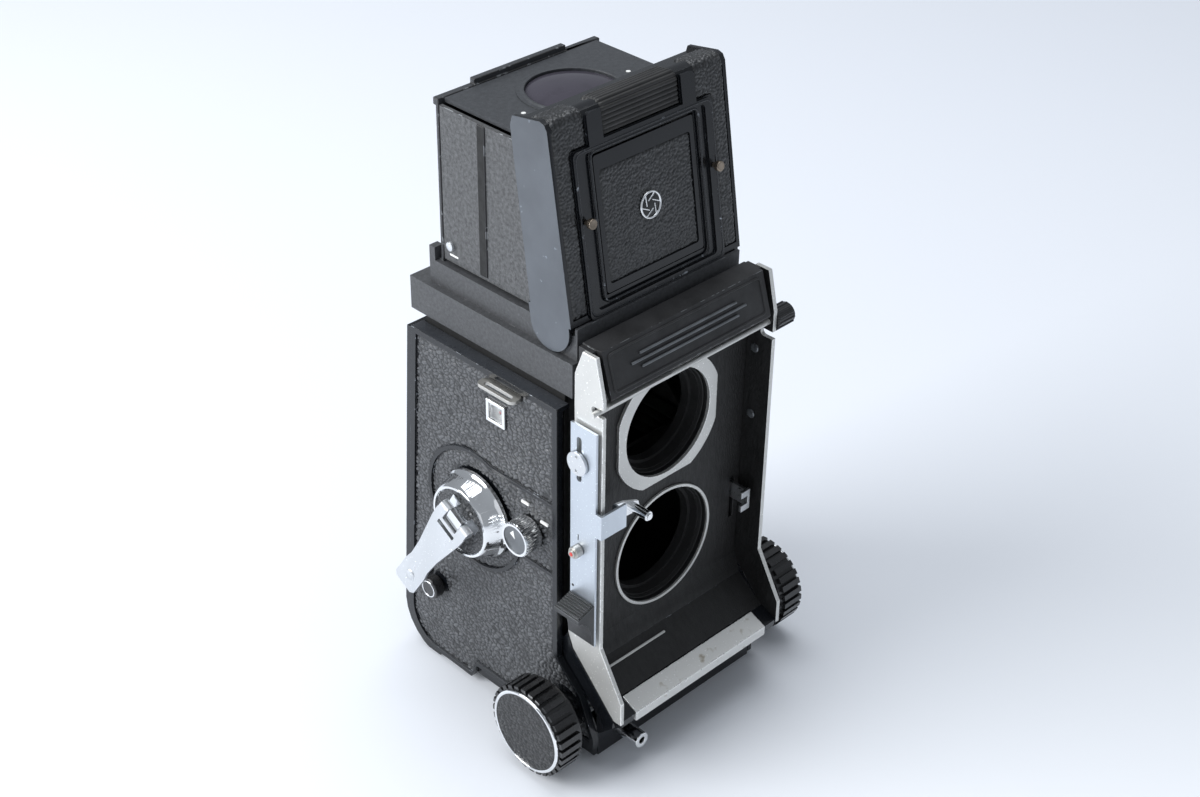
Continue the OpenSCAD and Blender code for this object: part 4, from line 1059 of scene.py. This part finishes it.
class TLR_OT_bellows(bpy.types.Operator):
    """Fold the bellows between the body and the front standard"""

    bl_idname = "tlr.bellows"
    bl_label = "Bellows"

    def execute(self, context):
        shapes = context.scene.tlr_shapes
        low, high = span("bellows")
        depth, folds = shapes.pleat_depth / MM, shapes.pleats
        t = np.linspace(0, 1, folds * 12 + 1)
        wave = 1 - np.abs(2 * ((t * folds) % 1) - 1)
        inset = depth * wave ** 0.8
        width, tall = high[0] - low[0] - 1, high[2] - low[2] - 1
        ring = rectangle(width, tall, 5)
        ring = np.concatenate([a + (b - a) * np.linspace(0, 1, 8)[:-1, None]
                               for a, b in zip(ring, np.roll(ring, -1, 0))])
        shrink = 1 - 2 * inset[:, None, None] / np.array([width, tall])
        outline = ring[None] * shrink
        y = high[1] - 1.5 + t * (low[1] - high[1] + 1.5)
        points = np.stack([outline[..., 0], np.repeat(y[:, None], len(ring), 1),
                           outline[..., 1] + (low[2] + high[2]) / 2], -1)
        shape = points.reshape(-1, 3), grid_faces(len(t), len(ring), close_columns=True).tolist()
        made = piece("bellows_pleats", shape, "bellows_cloth", None, "bellows_cloth")
        wall = made.modifiers.new("cloth", "SOLIDIFY")
        wall.thickness, wall.offset = 0.5 * MM, -1
        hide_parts("bellows")
        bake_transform(made)
        return {"FINISHED"}


class TLR_OT_release(bpy.types.Operator):
    """Finish the release slide, its lever, lock, cocking fork and the lens retainer"""

    bl_idname = "tlr.release"
    bl_label = "Release and locks"

    def execute(self, context):
        rounded_node("release_plate", "slide_steel", 0.14, "slide_plate_steel",
                     accents=[("chrome", lambda c, n: c[:, 0] > -30.3)])
        rounded_node("release_lever", "lever_plastic", 0.1, "black_plastic", edge="grey_metal")
        rounded_node("lock_stud", "nickel", 0.2, "brass")
        rounded_node("cocking_fork", "steel", 0.2, "steel")
        rounded_node("lens_retainer", "satin_silver", 0.12, "steel",
                     accents=[("knob_plastic", lambda c, n: c[:, 0] > 39.9)])
        out = span("lock_stud")[0][0]
        piece("lock_dot", turned([(-0.2, 0), (-0.2, 0.75), (0.12, 0.7), (0.18, 0)], (out, -28.8, 89), -LEFT,
                                 24),
              "red_paint", "release_lock", "dial_white")
        outer = facing(-1, -41.7)
        marks = [plate(rectangle(0.35, 2.2, 0.1, (-28.2, 93.6)), outer, 0.06, 0.02),
                 plate(circle(0.5, 20, (-25.9, 73)), outer, 0.06, 0.02)]
        piece("slide_marks", joined(marks), "flat_black", "release_slider", "black_enamel")
        return {"FINISHED"}


class TLR_OT_focus(bpy.types.Operator):
    """Finish the focusing shaft and its ribbed knobs with chrome rings and leather faces"""

    bl_idname = "tlr.focus"
    bl_label = "Focusing knobs"

    def execute(self, context):
        looks = context.scene.tlr_finishes
        rounded_node("focus_shaft", "steel", 0.1, "steel")
        rounded_node("focus_knobs", "knob_plastic", 0.35, "black_plastic")
        low, high = span("focus_knobs")
        middle = (low + high) / 2
        rings = []
        for side in (-1, 1):
            x = side * high[0]
            ring = filleted([(-0.5, 14.3), (-0.5, 15.5), (0.2, 15.5), (0.55, 14.9), (0.4, 14.3)], 0.25, 3)
            rings.append(turned(np.vstack([ring, ring[:1]]), (x, middle[1], middle[2]), side * LEFT, 96))
            sides = ring_sides(circle(14.5, 72, middle[1:]))
            # The knob faces take the leather darkened to about a third as painted shade
            leather_skin(f"leather_knob_{'right' if side < 0 else 'left'}", sides, facing(side, x), looks,
                         "focus_drive", top=0.62, sink=0.5, swell=2.4, finish="shaded_knob_leather")
        piece("knob_rings", joined(rings), "chrome", "focus_drive", "bright_chrome")
        return {"FINISHED"}


class TLR_OT_film(bpy.types.Operator):
    """Finish the take-up spool and its gear"""

    bl_idname = "tlr.film"
    bl_label = "Film transport"

    def execute(self, context):
        rounded_node("take_up_spool", "knob_plastic", 0.3, "black_plastic")
        rounded_node("spool_gear", "brass", 0.1, "brass")
        return {"FINISHED"}


class TLR_OT_stage(bpy.types.Operator):
    """Set the floor, soft lights and camera"""

    bl_idname = "tlr.stage"
    bl_label = "Stage"

    def execute(self, context):
        stage, scene = context.scene.tlr_stage, context.scene
        paper = Finish("seamless_paper", Roughness=0.9, Specular_IOR_Level=0.15)
        paper.set(Base_Color=paper.mix(paper.range(paper.noise(900, 2), 0.3, 0.7), (0.84, 0.87, 0.93),
                                       (0.90, 0.92, 0.95)))
        paper.bump((paper.noise(0.8, 2), 0.01))
        x, y = np.meshgrid(np.linspace(-3000, 3000, 13), np.linspace(-3000, 3000, 13), indexing="ij")
        points = np.stack([x.ravel(), y.ravel(), np.full(x.size, 0.0)], -1)
        floor = piece("floor", (points, grid_faces(*x.shape)), "seamless_paper", None, None, solid=False)
        camera = bpy.data.objects.new("studio_camera", bpy.data.cameras.new("studio_camera"))
        scene.collection.objects.link(camera)
        camera.data.lens, camera.data.sensor_width = stage.lens, 36
        camera.data.clip_start, camera.data.clip_end = 0.02, 20
        a, e = stage.azimuth, stage.elevation
        back = np.array([math.sin(a) * math.cos(e), -math.cos(a) * math.cos(e), math.sin(e)])
        level = unit(np.cross(UP, back))
        right = level * math.cos(stage.roll) + np.cross(back, level) * math.sin(stage.roll)
        turn = np.eye(4)
        turn[:3, :3] = np.stack([right, np.cross(back, right), back], -1)
        turn[:3, 3] = stage.place
        camera.matrix_world = Matrix(turn.tolist())
        scene.camera = camera
        for name, place, size, power, colour in (
                ("key_light", (-1.15, 0.6, 0.85), 1.0, stage.key_power, (0.98, 0.99, 1.0)),
                ("top_light", (0.15, 0.25, 1.5), 1.2, stage.fill_power, (0.93, 0.96, 1.0)),
                ("front_light", (-1.1, -0.9, 0.5), 0.8, stage.fill_power * 0.07, (0.95, 0.97, 1.0))):
            light = bpy.data.objects.new(name, bpy.data.lights.new(name, "AREA"))
            light.data.energy, light.data.size, light.data.color = power, size, colour
            aim = unit(np.array(place) - (0, 0, 0.1))
            across = unit(np.cross(UP, aim))
            turn = np.eye(4)
            turn[:3, :3] = np.stack([across, np.cross(aim, across), aim], -1)
            turn[:3, 3] = place
            light.matrix_world = Matrix(turn.tolist())
            scene.collection.objects.link(light)
        world = bpy.data.worlds.new("studio")
        world.use_nodes = True
        world.node_tree.nodes["Background"].inputs["Color"].default_value = (0.86, 0.92, 1.0, 1)
        world.node_tree.nodes["Background"].inputs["Strength"].default_value = stage.sky
        scene.world = world
        scene.view_settings.view_transform = "Standard"
        return {"FINISHED"}


OPERATORS = (
    TLR_OT_finishes, TLR_OT_body, TLR_OT_side_leather, TLR_OT_back_door, TLR_OT_finder, TLR_OT_grip,
             TLR_OT_flap,
    TLR_OT_magnifier, TLR_OT_crank, TLR_OT_knobs, TLR_OT_counter, TLR_OT_standard, TLR_OT_nameplate,
             TLR_OT_bellows,
    TLR_OT_release, TLR_OT_focus, TLR_OT_film, TLR_OT_stage)
SETTINGS = (("tlr_finishes", TLR_Finishes), ("tlr_shapes", TLR_Shapes), ("tlr_stage", TLR_Stage))


class TLR_PT_panel(bpy.types.Panel):
    """Lists the settings and the pieces in the order in which they are made"""

    bl_idname = "TLR_PT_panel"
    bl_label = "Reflex camera"
    bl_space_type = "VIEW_3D"
    bl_region_type = "UI"
    bl_category = "Reflex camera"

    def draw(self, context):
        for name, group in SETTINGS:
            box = self.layout.box()
            for key in group.__annotations__:
                box.prop(getattr(context.scene, name), key)
        for operator in OPERATORS:
            self.layout.operator(operator.bl_idname)


def register():
    for name, group in SETTINGS:
        bpy.utils.register_class(group)
        setattr(bpy.types.Scene, name, PointerProperty(type=group))
    for operator in OPERATORS:
        bpy.utils.register_class(operator)
    bpy.utils.register_class(TLR_PT_panel)


def unregister():
    bpy.utils.unregister_class(TLR_PT_panel)
    for operator in reversed(OPERATORS):
        bpy.utils.unregister_class(operator)
    for name, group in reversed(SETTINGS):
        delattr(bpy.types.Scene, name)
        bpy.utils.unregister_class(group)


def main():
    """Registers the add-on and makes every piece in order"""
    register()
    for operator in OPERATORS:
        getattr(bpy.ops.tlr, operator.bl_idname.split(".")[1])()


if __name__ == "__main__":
    main()
